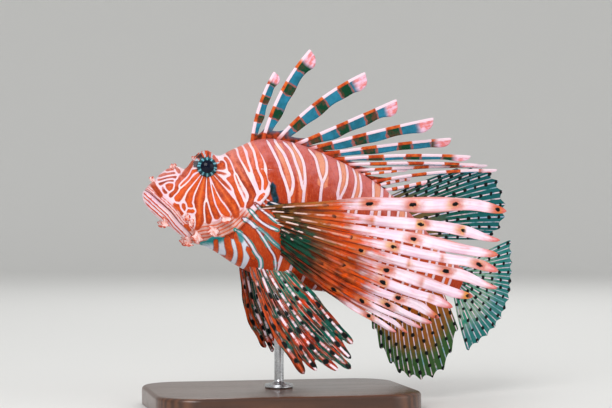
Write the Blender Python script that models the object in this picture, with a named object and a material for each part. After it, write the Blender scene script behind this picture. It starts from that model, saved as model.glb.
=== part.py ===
"""A life-size red lionfish on a display stand, as a museum shows it: body, fins, spines, skin flaps and stand.

The fish is drawn straight, in millimetres, in its own frame: along (from the snout to the tail root), up (towards
the back) and out (towards the fish's left side). Then the pose bends the tail to the right side, tips the nose up
and sets the fish over its stand. The world is in metres, +Z up, with the head towards -X and the left side
towards -Y. The origin is the centre of the underside of the stand.
"""

import math

import bmesh
import bpy
import numpy as np

MM = 0.001
GAP = 0.3

# The fish's size and pose
STANDARD_LENGTH = 225.0
NOSE_UP = math.radians(16.2)
BEND_START = 0.35 * STANDARD_LENGTH
BEND_END = 1.25 * STANDARD_LENGTH
BEND_ANGLE = math.radians(34.0)
BEND_POWER = 1.3
BEND_STEPS = 240

# Stand
BASE_LENGTH, BASE_WIDTH, BASE_THICK = 168.0, 116.0, 12.0
BASE_CORNER, BASE_EDGE = 26.0, 2.5
SNOUT_HEIGHT = 137.0
SNOUT_AHEAD = 87.4
ROD_ALONG = 100.0
ROD_RADIUS, ROD_DEEP = 3.0, 3.0
COLLAR_RADIUS, COLLAR_HEIGHT = 9.0, 4.0
CUP_RADIUS, CUP_HEIGHT = 6.0, 6.0
ROD_SIDES = 14

# Body profile: along, back, belly, half width, height of the widest point
BODY_STATIONS = (
    (0.0, -1.0, -1.0, 0.0, -1.0),
    (0.5, 1.4, -3.0, 3.4, -0.8),
    (1.5, 2.9, -4.8, 5.3, -0.5),
    (3.0, 5.6, -6.4, 6.9, -0.2),
    (5.0, 9.6, -8.4, 8.2, 0.4),
    (7.7, 14.6, -10.4, 9.5, 0.8),
    (11.0, 18.6, -12.2, 10.6, 1.0),
    (15.0, 21.4, -14.0, 11.8, 1.0),
    (18.0, 21.8, -15.2, 12.5, 1.0),
    (20.5, 21.4, -16.0, 13.1, 1.0),
    (23.5, 24.8, -17.0, 13.7, 1.2),
    (27.0, 30.6, -18.4, 14.6, 1.6),
    (31.0, 33.4, -19.9, 15.5, 2.0),
    (36.0, 34.8, -21.2, 16.5, 2.4),
    (41.0, 36.4, -21.9, 17.4, 3.0),
    (46.0, 41.2, -22.2, 18.3, 3.6),
    (52.0, 46.2, -23.0, 19.3, 4.6),
    (58.0, 51.0, -24.6, 20.3, 5.8),
    (66.0, 54.9, -27.2, 21.4, 7.2),
    (76.0, 57.0, -29.6, 22.0, 8.2),
    (88.0, 57.6, -31.0, 21.8, 8.6),
    (104.0, 56.6, -31.6, 20.4, 8.8),
    (123.0, 53.8, -30.0, 17.8, 9.0),
    (142.0, 49.0, -26.5, 15.0, 9.2),
    (156.0, 44.4, -23.0, 12.9, 9.2),
    (170.0, 38.0, -19.4, 10.8, 8.8),
    (185.0, 30.2, -15.0, 8.7, 7.8),
    (200.0, 22.6, -10.4, 6.9, 6.4),
    (213.0, 16.2, -6.6, 5.6, 5.0),
    (222.0, 12.6, -4.4, 4.6, 4.2),
    (226.0, 11.0, -2.8, 3.4, 4.0),
    (227.6, 4.0, 4.0, 0.0, 4.0),
)
HEAD_RINGS = (0.0, 0.35, 0.9, 1.8, 3.0, 4.4, 6.0, 7.8, 9.8, 12.0, 14.2, 16.4, 18.4, 20.4, 22.4, 24.6, 27.0, 29.4,
              31.8, 34.2, 36.6, 39.2, 41.8, 44.6, 47.6, 50.8, 54.2, 57.8, 61.6, 65.4, 69.2, 73.0, 77.0)
TRUNK_RINGS = (81.5, 87.0, 93.0, 100.0, 108.0, 117.0, 126.0, 135.0, 144.0, 153.0, 162.0, 171.0, 180.0, 189.0,
               198.0, 206.0, 213.0, 219.0, 223.5, 226.3, 227.6)
RING_SIDES = 28

# Head
EYE_ALONG, EYE_UP, EYE_OUT = 33.4, 25.8, 8.4
EYE_RADIUS = 6.8
CREST = (31.3, 33.0, 6.5)
CREST_HEIGHT = 4.3
NOSTRIL = (19.5, 17.0)
NOSTRIL_SIZE = 0.9
MOUTH_LINE = ((-4.0, 4.0), (1.4, 1.2), (9.6, -3.1), (18.9, -7.6), (26.1, -12.6), (34.1, -16.8), (38.0, -18.9),
              (40.0, -27.0))
UPPER_JAW = ((3.0, 4.8), (10.5, 0.4), (19.5, -4.0), (27.0, -9.2), (34.5, -13.6), (38.5, -16.2))
CHEEK_BONE = ((28.0, 13.5), (37.0, 8.5), (48.0, 5.0))
PREOPERCLE = ((47.0, 19.0), (50.5, 8.0), (50.5, -4.0), (44.5, -12.5))
GILL_EDGE = ((40.5, -40.0), (42.7, -19.9), (53.3, -14.6), (62.0, -6.4), (66.8, 3.7), (71.0, 12.8), (74.0, 19.5),
             (74.2, 24.0), (71.2, 27.4), (64.0, 32.5), (56.5, 40.0), (49.5, 48.0), (44.0, 62.0))
COVER_OUTLINE = ((86.0, 22.0), (71.0, 28.6), (61.0, 27.6), (54.0, 19.0), (51.8, 8.0), (52.6, -4.0), (57.0, -11.0),
                 (76.0, -14.0))
COVER_INNER = 14.5
COVER_POCKET = -GAP
TAIL_CUT = 188.0

# Skin flaps: along, up, direction, length, width
HEAD_FLAPS = (
    (26.0, 28.6, (-0.6, 1.0, 0.3), 3.2, 1.8),
    (13.4, 18.8, (0.0, 1.0, 0.35), 4.2, 1.5),
    (5.0, 8.6, (-0.9, 0.55, 0.5), 3.8, 1.4),
    (38.2, -15.6, (0.2, -0.8, 0.6), 6.0, 3.8),
    (45.6, -10.0, (0.5, -0.6, 0.7), 4.6, 3.0),
    (50.0, -1.0, (0.6, -0.5, 0.7), 4.6, 2.8),
)
JAW_FLAPS = (
    (17.4, -12.6, (0.1, -1.0, 0.35), 4.6, 2.8),
    (35.0, -19.8, (0.1, -1.0, 0.4), 4.4, 4.4),
)
FLAP_THICK = 1.0

# Fins: half thickness of the skin and of the ridges, depth of the roots, and rows from root to tip
SKIN = 0.3
ROOT_DEEP = 1.5
ROOT_SINK = 2.5
SPINE_RIDGE, MEDIAN_RIDGE, PECTORAL_RIDGE, PELVIC_RIDGE = 1.2, 0.65, 0.75, 0.65
TAPER_START = 0.78
RIDGE_THINNING = 0.62
WEB_NOTCH = 0.6
WEB_ROOM = 0.42
SPINE_ROWS, MEDIAN_ROWS, PECTORAL_ROWS, PELVIC_ROWS = 7, 4, 8, 6
SPINE_WEB, MEDIAN_WEB, PELVIC_WEB = 0.12, 1.0, 0.84
PECTORAL_WEB_TOP, PECTORAL_WEB_LOW = 0.35, 0.8
MEDIAN_RIBBON, PECTORAL_STRAP, PELVIC_RIBBON = 1.6, 4.4, 2.6
SOFT_DORSAL_RAYS, ANAL_RAYS, CAUDAL_RAYS, PECTORAL_RAYS, PELVIC_RAYS = 11, 10, 13, 12, 6

# Dorsal spines: root along the back, then middle and tip
DORSAL_SPINES = (
    (58.0, (56.0, 72.0), (59.0, 97.0)),
    (64.5, (69.0, 94.0), (78.0, 118.0)),
    (73.0, (96.0, 93.0), (116.0, 114.0)),
    (85.0, (112.0, 78.6), (143.5, 104.4)),
    (94.0, (124.0, 74.2), (169.5, 99.8)),
    (103.0, (136.5, 70.4), (190.5, 92.0)),
    (111.5, (141.0, 65.4), (203.5, 84.0)),
    (119.5, (156.0, 65.3), (212.0, 80.6)),
    (127.5, (165.0, 64.8), (225.5, 83.2)),
    (132.5, (149.5, 57.1), (165.0, 63.4)),
    (141.0, (171.0, 62.0), (226.0, 81.2)),
    (145.5, (158.0, 53.6), (168.4, 58.2)),
    (150.5, (164.4, 51.9), (177.4, 59.6)),
)
SPINE_LEAN = (1.5, -2.0, 2.5, -3.0, 3.5, -4.0, 4.5, 3.0, -4.5, -3.0, 6.0, -2.5, 3.5)
SPINE_FRONT = 1.0
SPINE_RIBBONS = (5.0, 7.4, 8.0, 7.0, 6.4, 4.6, 3.0, 1.8, 1.4, 1.0, 1.6, 1.4, 1.8)

# Fans in the middle plane: place in the fan, root, tip, and how far the ray bows
SOFT_DORSAL_KEYS = (
    (0.0, 157.0, (200.5, 73.5), 0.5),
    (0.12, 161.0, (212.5, 77.5), 1.0),
    (0.25, 165.5, (223.5, 79.0), 1.5),
    (0.5, 174.5, (241.0, 69.5), 2.0),
    (0.7, 182.0, (249.0, 54.0), 1.5),
    (0.85, 188.0, (246.0, 43.0), 1.0),
    (1.0, 193.0, (236.0, 36.0), 0.5),
)
ANAL_KEYS = (
    (0.0, 165.0, (171.5, -43.0), -0.8),
    (0.111, 170.0, (180.5, -54.0), -1.2),
    (0.222, 174.5, (190.5, -61.5), -1.5),
    (0.4, 181.0, (204.0, -67.0), -2.0),
    (0.6, 190.0, (220.5, -65.5), -1.8),
    (0.8, 200.0, (233.5, -54.5), -1.2),
    (1.0, 212.0, (235.0, -29.0), 0.0),
)
CAUDAL_KEYS = (
    (0.0, (221.0, 11.0), (261.5, 39.5), 1.0),
    (0.25, (224.0, 8.5), (270.5, 20.0), 0.5),
    (0.5, (225.0, 4.5), (275.0, 2.0), 0.0),
    (0.75, (224.5, 0.5), (269.0, -19.0), -0.5),
    (1.0, (222.0, -2.5), (250.0, -39.0), -1.0),
)

# Paired fins: place in the fan, then root, middle and tip
PECTORAL_KEYS = (
    (0.0, (74.0, 11.0, 22.0), (158.0, 38.0, 48.0), (215.0, 52.0, 56.0)),
    (0.13, (81.0, 10.0, 22.5), (150.0, 19.5, 46.0), (216.0, 28.0, 58.0)),
    (0.24, (83.0, 7.0, 23.0), (146.0, 11.0, 47.0), (218.0, 17.0, 60.0)),
    (0.35, (85.0, 4.0, 23.0), (138.0, 2.5, 44.0), (222.0, 7.0, 60.0)),
    (0.49, (89.0, 0.0, 23.0), (135.0, -7.5, 41.0), (204.0, -11.0, 56.0)),
    (0.62, (90.0, -4.0, 23.0), (132.0, -15.5, 39.0), (194.0, -21.0, 53.0)),
    (0.76, (92.0, -8.0, 22.0), (134.0, -23.0, 36.0), (189.0, -31.0, 48.0)),
    (1.0, (94.0, -15.0, 20.0), (126.0, -28.0, 30.0), (172.0, -40.0, 42.0)),
)
PELVIC_LEFT_KEYS = (
    (0.0, (78.0, -25.0, 8.0), (94.0, -51.0, 20.0), (124.0, -82.0, 34.0)),
    (0.2, (82.0, -24.0, 9.0), (103.5, -53.0, 23.0), (131.0, -77.0, 37.0)),
    (0.6, (86.0, -23.0, 9.0), (115.0, -51.0, 26.0), (150.0, -71.0, 42.0)),
    (1.0, (95.0, -19.0, 9.0), (117.0, -34.0, 22.0), (148.0, -56.0, 36.0)),
)
PELVIC_RIGHT_KEYS = (
    (0.0, (74.0, -25.0, -7.0), (84.0, -45.0, -13.0), (109.0, -74.0, -30.0)),
    (0.55, (82.0, -25.0, -8.0), (101.0, -51.0, -18.0), (127.0, -76.0, -34.0)),
    (1.0, (90.0, -22.0, -8.0), (116.0, -42.0, -18.0), (144.0, -60.0, -34.0)),
)
SHARP_ANGLE = math.radians(40.0)


def smooth_curve(x, xs, ys):
    """Values at x on the smooth curve through the points (xs, ys): cubic pieces with the chords' mean slopes."""
    xs, ys = np.asarray(xs, float), np.asarray(ys, float)
    steps = np.diff(ys) / np.diff(xs)
    slopes = np.concatenate([steps[:1], (steps[1:] + steps[:-1]) / 2, steps[-1:]])
    flat = np.concatenate([[False], steps[1:] * steps[:-1] <= 0, [False]])
    slopes = np.where(flat, 0.0, slopes)
    x = np.clip(x, xs[0], xs[-1])
    k = np.clip(np.searchsorted(xs, x, side="right") - 1, 0, len(xs) - 2)
    span = xs[k + 1] - xs[k]
    t = (x - xs[k]) / span
    return (
        ys[k] * (2 * t**3 - 3 * t**2 + 1)
        + slopes[k] * span * (t**3 - 2 * t**2 + t)
        + ys[k + 1] * (3 * t**2 - 2 * t**3)
        + slopes[k + 1] * span * (t**3 - t**2)
    )


def smooth_step(x, low, high):
    """0 below low, 1 above high, and a smooth climb between."""
    t = np.clip((x - low) / (high - low), 0.0, 1.0)
    return t * t * (3.0 - 2.0 * t)


def mound(along, up, centre, size):
    """A smooth hill of height 1 on the side of the fish, with a centre and two half widths."""
    return np.exp(-(((along - centre[0]) / size[0]) ** 2) - ((up - centre[1]) / size[1]) ** 2)


def line_distance(along, up, line):
    """Distance from points on the side of the fish to a bent line drawn there."""
    best = np.full(np.shape(along), 1e9)
    for (a0, u0), (a1, u1) in zip(line[:-1], line[1:]):
        length = (a1 - a0) ** 2 + (u1 - u0) ** 2
        t = np.clip(((along - a0) * (a1 - a0) + (up - u0) * (u1 - u0)) / length, 0.0, 1.0)
        best = np.minimum(best, np.hypot(along - a0 - t * (a1 - a0), up - u0 - t * (u1 - u0)))
    return best


def body_section(along):
    """Back, belly, half width and height of the widest point of the body at a place along it."""
    stations = np.array(BODY_STATIONS)
    return [smooth_curve(along, stations[:, 0], stations[:, k]) for k in (1, 2, 3, 4)]


def side_of_body(along, up):
    """How far out the plain body reaches at a place along and up it."""
    back, belly, half, widest = body_section(along)
    reach = np.where(up > widest, back - widest, widest - belly)
    share = np.clip((up - widest) / np.maximum(reach, 0.01), -1.0, 1.0)
    return half * np.sqrt(1.0 - share**2)


def head_relief(along, up):
    """Bones and swellings of the head, outwards from the plain body."""
    orbit = np.hypot(along - EYE_ALONG, up - EYE_UP)
    rim = 2.3 * np.exp(-(((orbit - EYE_RADIUS) / 3.2) ** 2))
    maxilla = 1.5 * np.exp(-((line_distance(along, up, UPPER_JAW) / 2.8) ** 2))
    cheek = 0.9 * np.exp(-((line_distance(along, up, CHEEK_BONE) / 3.0) ** 2))
    preopercle = 1.0 * np.exp(-((line_distance(along, up, PREOPERCLE) / 2.4) ** 2))
    nose = 1.2 * mound(along, up, (12.0, 14.5), (5.0, 4.5))
    hollow = -1.2 * mound(along, up, (21.5, 17.5), (3.6, 4.5))
    return rim + maxilla + cheek + preopercle + nose + hollow


def brow_crest(points):
    """The bony crest over each eye, which also shows in the outline from the side."""
    along, up, out = points[..., 0], points[..., 1], np.abs(points[..., 2])
    reach = ((along - CREST[0]) / 4.2) ** 2 + ((up - CREST[1]) / 5.0) ** 2 + ((out - CREST[2]) / 3.6) ** 2
    return CREST_HEIGHT * np.exp(-reach)


def head_and_cover_relief(along, up):
    """The head with its gill cover, which stands proud of the body towards its rear edge."""
    from_edge = line_distance(along, up, GILL_EDGE[1:-3])
    return head_relief(along, up) + 1.5 * np.exp(-((from_edge / 6.0) ** 2))


def head_and_jaw_relief(along, up):
    """The head with the lower lip and the jaw bone under it."""
    lip = 0.9 * np.exp(-((line_distance(along, up, [(a, u - 1.8) for a, u in MOUTH_LINE[1:-1]]) / 1.5) ** 2))
    bone = 0.6 * np.exp(-((line_distance(along, up, [(a, u - 5.2) for a, u in MOUTH_LINE[1:-2]]) / 1.6) ** 2))
    return head_relief(along, up) + lip + bone


def trunk_relief(along, up):
    """The fleshy pad that carries the pectoral fin, and the breast under it."""
    pad = 1.7 * mound(along, up, (84.0, -1.0), (9.0, 13.0))
    breast = 0.8 * mound(along, up, (66.0, -19.0), (12.0, 6.0))
    return pad + breast


def body_grid(rings, relief, grow=0.0):
    """Points of the closed body skin, ring by ring, with a relief on its sides."""
    along = np.asarray(rings, float)[:, None]
    angle = (np.arange(RING_SIDES) * 2 * math.pi / RING_SIDES)[None, :]
    back, belly, half, widest = (v for v in body_section(along))
    reach = np.where(np.cos(angle) > 0, back - widest, widest - belly)
    up = widest + reach * np.cos(angle)
    out = half * np.sin(angle)
    points = np.stack([np.broadcast_to(along, up.shape), up, out], axis=-1)
    normals = grid_normals(points)
    lift = grow + relief(points[..., 0], points[..., 1]) * np.abs(normals[..., 2]) ** 0.5
    lift = np.where(half > 0.01, lift + brow_crest(points), grow)
    return points + normals * lift[..., None]


def grid_normals(points):
    """Outward normals of a ring grid that closes round the body."""
    round_step = np.roll(points, -1, axis=1) - np.roll(points, 1, axis=1)
    along_step = np.gradient(points, axis=0)
    normals = np.cross(round_step, along_step)
    length = np.linalg.norm(normals, axis=-1, keepdims=True)
    normals = normals / np.maximum(length, 1e-9)
    normals[0] = (-1.0, 0.0, 0.0)
    normals[-1] = (1.0, 0.0, 0.0)
    return normals


def new_object(name, points, faces):
    """A mesh object from points in millimetres, its faces turned outwards."""
    mesh = bpy.data.meshes.new(name)
    mesh.from_pydata([tuple(p) for p in points], [], [tuple(int(i) for i in f) for f in faces])
    shape = bmesh.new()
    shape.from_mesh(mesh)
    bmesh.ops.remove_doubles(shape, verts=shape.verts, dist=1e-4)
    bmesh.ops.triangulate(shape, faces=shape.faces)
    bmesh.ops.recalc_face_normals(shape, faces=shape.faces)
    shape.to_mesh(mesh)
    shape.free()
    obj = bpy.data.objects.new(name, mesh)
    bpy.context.scene.collection.objects.link(obj)
    return obj


def body_solid(name, relief, grow=0.0):
    """The whole body as one closed mesh."""
    grid = body_grid(HEAD_RINGS + TRUNK_RINGS, relief, grow)
    rings, sides = grid.shape[:2]
    index = np.arange(rings * sides).reshape(rings, sides)
    faces = []
    for i in range(rings - 1):
        for j in range(sides):
            k = (j + 1) % sides
            faces.append((index[i, j], index[i, k], index[i + 1, k], index[i + 1, j]))
    points = grid.reshape(-1, 3)
    points[: sides] = points[:sides].mean(axis=0)
    points[-sides:] = points[-sides:].mean(axis=0)
    return new_object(name, points, faces)


def prism(name, outline, low, high):
    """A closed block with an outline drawn on the side of the fish, from one place out to another."""
    n = len(outline)
    points = [(a, u, low) for a, u in outline] + [(a, u, high) for a, u in outline]
    faces = [tuple(range(n)), tuple(range(2 * n - 1, n - 1, -1))]
    faces += [(i, (i + 1) % n, n + (i + 1) % n, n + i) for i in range(n)]
    return new_object(name, points, faces)


def ball(name, centre, radius, segments=18, rings=10):
    """A round ball."""
    shape = bmesh.new()
    bmesh.ops.create_uvsphere(shape, u_segments=segments, v_segments=rings, radius=radius)
    for v in shape.verts:
        v.co = [centre[k] + v.co[k] for k in range(3)]
    mesh = bpy.data.meshes.new(name)
    shape.to_mesh(mesh)
    shape.free()
    obj = bpy.data.objects.new(name, mesh)
    bpy.context.scene.collection.objects.link(obj)
    return obj


def shift_line(line, distance):
    """A bent line moved sideways by a distance, to its left as it is walked."""
    line = np.array(line, float)
    steps = np.gradient(line, axis=0)
    steps /= np.linalg.norm(steps, axis=1, keepdims=True)
    side = np.stack([-steps[:, 1], steps[:, 0]], axis=1)
    return [tuple(p) for p in line + side * distance]


def combine(obj, operation, others, solver="EXACT"):
    """Cuts or joins obj with a group of closed meshes, applies it, and removes the group."""
    group = bpy.data.collections.new("group")
    bpy.context.scene.collection.children.link(group)
    for other in others:
        bpy.context.scene.collection.objects.unlink(other)
        group.objects.link(other)
    change = obj.modifiers.new("change", "BOOLEAN")
    change.operation = operation
    change.operand_type = "COLLECTION"
    change.collection = group
    change.solver = solver
    bpy.context.view_layer.update()
    graph = bpy.context.evaluated_depsgraph_get()
    made = bpy.data.meshes.new_from_object(obj.evaluated_get(graph))
    obj.modifiers.remove(change)
    old = obj.data
    obj.data = made
    bpy.data.meshes.remove(old)
    for other in others:
        bpy.data.meshes.remove(other.data)
    bpy.data.collections.remove(group)
    keep_largest(obj)
    return obj


def keep_largest(obj):
    """Keeps the largest closed surface of a mesh, with its faces as triangles."""
    shape = bmesh.new()
    shape.from_mesh(obj.data)
    bmesh.ops.remove_doubles(shape, verts=shape.verts, dist=1e-4)
    bmesh.ops.triangulate(shape, faces=shape.faces)
    shape.verts.ensure_lookup_table()
    seen, groups = set(), []
    for start in shape.verts:
        if start in seen:
            continue
        stack, group = [start], []
        seen.add(start)
        while stack:
            v = stack.pop()
            group.append(v)
            for e in v.link_edges:
                o = e.other_vert(v)
                if o not in seen:
                    seen.add(o)
                    stack.append(o)
        groups.append(group)
    groups.sort(key=surface_volume, reverse=True)
    loose = [v for group in groups[1:] for v in group]
    bmesh.ops.delete(shape, geom=loose, context="VERTS")
    bmesh.ops.recalc_face_normals(shape, faces=shape.faces)
    shape.to_mesh(obj.data)
    shape.free()


def surface_volume(verts):
    """The volume inside a closed group of vertices."""
    faces = {f for v in verts for f in v.link_faces}
    total = 0.0
    for f in faces:
        a, b, c = (v.co for v in f.verts[:3])
        total += a.dot(b.cross(c)) / 6.0
    return abs(total)


def copy_of(obj, name):
    """A second object with its own copy of the mesh."""
    twin = bpy.data.objects.new(name, obj.data.copy())
    bpy.context.scene.collection.objects.link(twin)
    return twin


def mirrored(obj, name):
    """The same piece on the fish's other side."""
    twin = copy_of(obj, name)
    shape = bmesh.new()
    shape.from_mesh(twin.data)
    for v in shape.verts:
        v.co.z = -v.co.z
    bmesh.ops.reverse_faces(shape, faces=shape.faces)
    shape.to_mesh(twin.data)
    shape.free()
    return twin


def bend_table():
    """Places and headings of the body's axis, seen from above, at even steps along it."""
    along = np.linspace(-20.0, 1.6 * STANDARD_LENGTH, BEND_STEPS)
    share = np.clip((along - BEND_START) / (BEND_END - BEND_START), 0.0, 1.0)
    heading = BEND_ANGLE * share**BEND_POWER
    step = along[1] - along[0]
    middle = (heading[1:] + heading[:-1]) / 2
    forward = np.concatenate([[0.0], np.cumsum(np.cos(middle)) * step]) + along[0]
    aside = np.concatenate([[0.0], np.cumsum(np.sin(middle)) * step])
    return along, heading, forward, aside


def posed(points, bent=True):
    """Fish frame to world: bend the tail, tip the nose up, and set the snout ahead of and over the stand."""
    along, up, out = points[:, 0], points[:, 1], points[:, 2]
    if bent:
        table, heading, forward, aside = bend_table()
        turn = np.interp(along, table, heading)
        x = np.interp(along, table, forward) + out * np.sin(turn)
        y = np.interp(along, table, aside) - out * np.cos(turn)
    else:
        x, y = along, -out
    return np.stack([
        x * math.cos(NOSE_UP) + up * math.sin(NOSE_UP) - SNOUT_AHEAD,
        y,
        -x * math.sin(NOSE_UP) + up * math.cos(NOSE_UP) + SNOUT_HEIGHT,
    ], axis=1)


def finish_pose(obj, bent=True):
    """Moves a finished piece from the fish's frame into the world, still in millimetres."""
    points = np.empty(len(obj.data.vertices) * 3)
    obj.data.vertices.foreach_get("co", points)
    obj.data.vertices.foreach_set("co", posed(points.reshape(-1, 3), bent).ravel())
    obj.data.update()
    return obj


def spread(keys, count):
    """Rays of a fan, count of them, on smooth curves through its key rays (place from 0 to 1, then points)."""
    places = [key[0] for key in keys]
    shape = np.array([key[1:] for key in keys], float)
    share = np.linspace(0.0, 1.0, count)
    rays = [smooth_curve(share, places, column) for column in shape.reshape(len(keys), -1).T]
    return np.array(rays).T.reshape((count,) + shape.shape[1:])


def ray_points(rays, rows, sink):
    """Places along each ray, from below its root to its tip, on the curve through its root, middle and tip."""
    root, middle, tip = (rays[:, k, None, :] for k in range(3))
    first = np.linalg.norm(middle - root, axis=-1, keepdims=True)
    turn = first / (first + np.linalg.norm(tip - middle, axis=-1, keepdims=True))
    t = np.linspace(0.0, 1.0, rows + 1)[None, :, None]
    points = (
        root * (t - turn) * (t - 1) / turn
        + middle * t * (t - 1) / (turn * (turn - 1))
        + tip * t * (t - turn) / (1 - turn)
    )
    start = points[:, 1:2] - points[:, :1]
    start /= np.linalg.norm(start, axis=-1, keepdims=True)
    return np.concatenate([points[:, :1] - start * sink, points], axis=1)


def fan_solid(name, rays, rows, web, widths, ridge, skin, sink, normal=None, bent=True):
    """A fin as one closed sheet: rays as ridges, each with a ribbon of skin, and a web between their lower parts.

    rays holds each ray's root, middle and tip. web is the share of the rays' length that the web reaches, widths
    gives the ribbon's reach before and behind the ray at each place along it, and ridge and skin are half
    thicknesses. Both faces are split into triangles alike.
    """
    centre = ray_points(np.asarray(rays, float), rows, sink)
    count, steps = centre.shape[:2]
    share = np.concatenate([[0.0], np.linspace(0.0, 1.0, rows + 1)])
    along = np.gradient(centre, axis=1)
    along /= np.linalg.norm(along, axis=-1, keepdims=True)
    if normal is None:
        face = np.cumsum(np.cross(along, np.gradient(centre, axis=0)), axis=1)
    else:
        face = np.array(normal, float) - along * (along @ np.array(normal, float))[..., None]
    face /= np.linalg.norm(face, axis=-1, keepdims=True)
    across = np.cross(face, along)
    before, behind = widths(np.arange(count)[:, None], share[None, :])
    room = np.full((count + 1, steps), 1e3)
    room[1:-1] = np.abs(((centre[1:] - centre[:-1]) * across[1:]).sum(axis=-1))
    if normal is None:
        before = np.minimum(before, WEB_ROOM * room[:-1])
        behind = np.minimum(behind, WEB_ROOM * room[1:])
    thick = np.broadcast_to(ridge * (1.0 - RIDGE_THINNING * share), (count, steps))
    edge = np.minimum(skin, thick)
    web_rows = [int(round(w * rows)) + 1 for w in np.broadcast_to(web, count - 1)]
    columns, normals, halves, limits = [], [], [], []
    for i in range(count):
        columns += [centre[i] - across[i] * before[i][:, None], centre[i], centre[i] + across[i] * behind[i][:, None]]
        normals += [face[i]] * 3
        halves += [edge[i], thick[i], edge[i]]
        limits += [steps - 1, steps - 1]
        if i < count - 1:
            next_edge = centre[i + 1] - across[i + 1] * before[i + 1][:, None]
            middle = (columns[-1] + next_edge) / 2
            row = np.arange(steps)
            notched = row - WEB_NOTCH * np.clip(row / web_rows[i], 0, 1) ** 4
            columns.append(np.stack([np.interp(notched, row, middle[:, k]) for k in range(3)], axis=1))
            both = face[i] + face[i + 1]
            normals.append(both / np.linalg.norm(both, axis=-1, keepdims=True))
            halves.append(edge[i])
            limits += [web_rows[i], web_rows[i]]
    places, sides = np.array(columns), np.array(normals) * np.array(halves)[..., None]
    index = -np.ones(places.shape[:2], int)
    cells = [(j, k) for j, limit in enumerate(limits) for k in range(limit)]
    corners = [((j, k), (j + 1, k), (j + 1, k + 1), (j, k + 1)) for j, k in cells]
    used = sorted({corner for cell in corners for corner in cell})
    for number, (j, k) in enumerate(used):
        index[j, k] = number
    total = len(used)
    rows_used = tuple(np.array(used).T)
    points = np.concatenate([places[rows_used] + sides[rows_used], places[rows_used] - sides[rows_used]])
    faces, edges = [], {}
    for cell in corners:
        a, b, c, d = (index[corner] for corner in cell)
        faces += [(a, b, c), (a, c, d), (total + c, total + b, total + a), (total + d, total + c, total + a)]
        for p, q in ((a, b), (b, c), (c, d), (d, a)):
            if (q, p) in edges:
                del edges[(q, p)]
            else:
                edges[(p, q)] = True
    for p, q in edges:
        faces += [(q, p, total + p), (q, total + p, total + q)]
    obj = new_object(name, points, faces)
    return finish_pose(obj, bent)


def back_at(along, deep=0.0):
    """A point on the back, sunk a little."""
    return (along, float(body_section(along)[0]) - deep, 0.0)


def belly_at(along, deep=0.0):
    """A point on the belly, sunk a little."""
    return (along, float(body_section(along)[1]) + deep, 0.0)


def with_middle(root, tip, bow, lean=0.0):
    """Root, middle and tip of a ray in the fish's middle plane, bowed forward, its tip leaning to one side."""
    root, tip = np.array(root, float), np.array(tip + (lean,), float)
    middle = (root + tip) / 2
    middle[2] = lean * 0.32
    step = tip[:2] - root[:2]
    middle[:2] += np.array([-step[1], step[0]]) / np.hypot(*step) * bow
    return root, middle, tip


def ribbon(reach_before, reach_behind, widest, foot, tip, stiff_front=False):
    """Reach of the skin before and behind a ray: narrow at its foot, full further out, drawn in at its tip."""
    def reach(number, share):
        swell = foot + (1 - foot) * smooth_step(share, 0.0, widest)
        swell = swell * (1 - (1 - tip) * smooth_step(share, TAPER_START, 1.0))
        before = np.take(np.atleast_1d(reach_before), number, mode="clip")
        behind = np.take(np.atleast_1d(reach_behind), number, mode="clip")
        return before * ((1.0 - 0.5 * share) if stiff_front else swell), behind * swell
    return reach


def leaf(name, root, tip, width, thick, facing):
    """A skin flap: a flat leaf from its root to a rounded tip, its flat side towards facing."""
    root, tip, facing = (np.array(v, float) for v in (root, tip, facing))
    along = tip - root
    across = np.cross(facing, along)
    across /= np.linalg.norm(across)
    out = np.cross(along, across)
    out /= np.linalg.norm(out)
    points = []
    for share, wide in ((0.0, 0.75), (0.6, 1.0), (1.0, 0.35)):
        middle = root + along * share
        for turn in range(6):
            angle = turn * math.pi / 3
            points.append(middle + across * math.cos(angle) * wide * width / 2
                          + out * math.sin(angle) * thick / 2 * (0.6 + 0.4 * wide))
    faces = [tuple(range(6)), tuple(range(17, 11, -1))]
    for ring in range(2):
        for k in range(6):
            n = (k + 1) % 6
            faces.append((ring * 6 + k, ring * 6 + n, ring * 6 + 6 + n, ring * 6 + 6 + k))
    return new_object(name, points, faces)


def surface(along, up, relief):
    """A point on the left side of the finished skin."""
    return np.array([along, up, float(side_of_body(along, up)) + float(relief(along, up))])


def flaps(list_of_flaps, relief):
    """The skin flaps of both sides, rooted in the skin."""
    made = []
    for along, up, lean, length, width in list_of_flaps:
        root = surface(along, up, relief)
        direction = np.array(lean, float)
        direction /= np.linalg.norm(direction)
        side = leaf("flap", root - direction * 2.0, root + direction * length, width, FLAP_THICK, (0.3, 0.2, 1.0))
        made += [side, mirrored(side, "flap")]
    return made


def material(name, colour, roughness, metallic=0.0):
    """A plain finish."""
    mat = bpy.data.materials.new(name)
    mat.use_nodes = True
    shader = mat.node_tree.nodes["Principled BSDF"]
    shader.inputs["Base Color"].default_value = (*colour, 1.0)
    shader.inputs["Roughness"].default_value = roughness
    shader.inputs["Metallic"].default_value = metallic
    return mat


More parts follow.
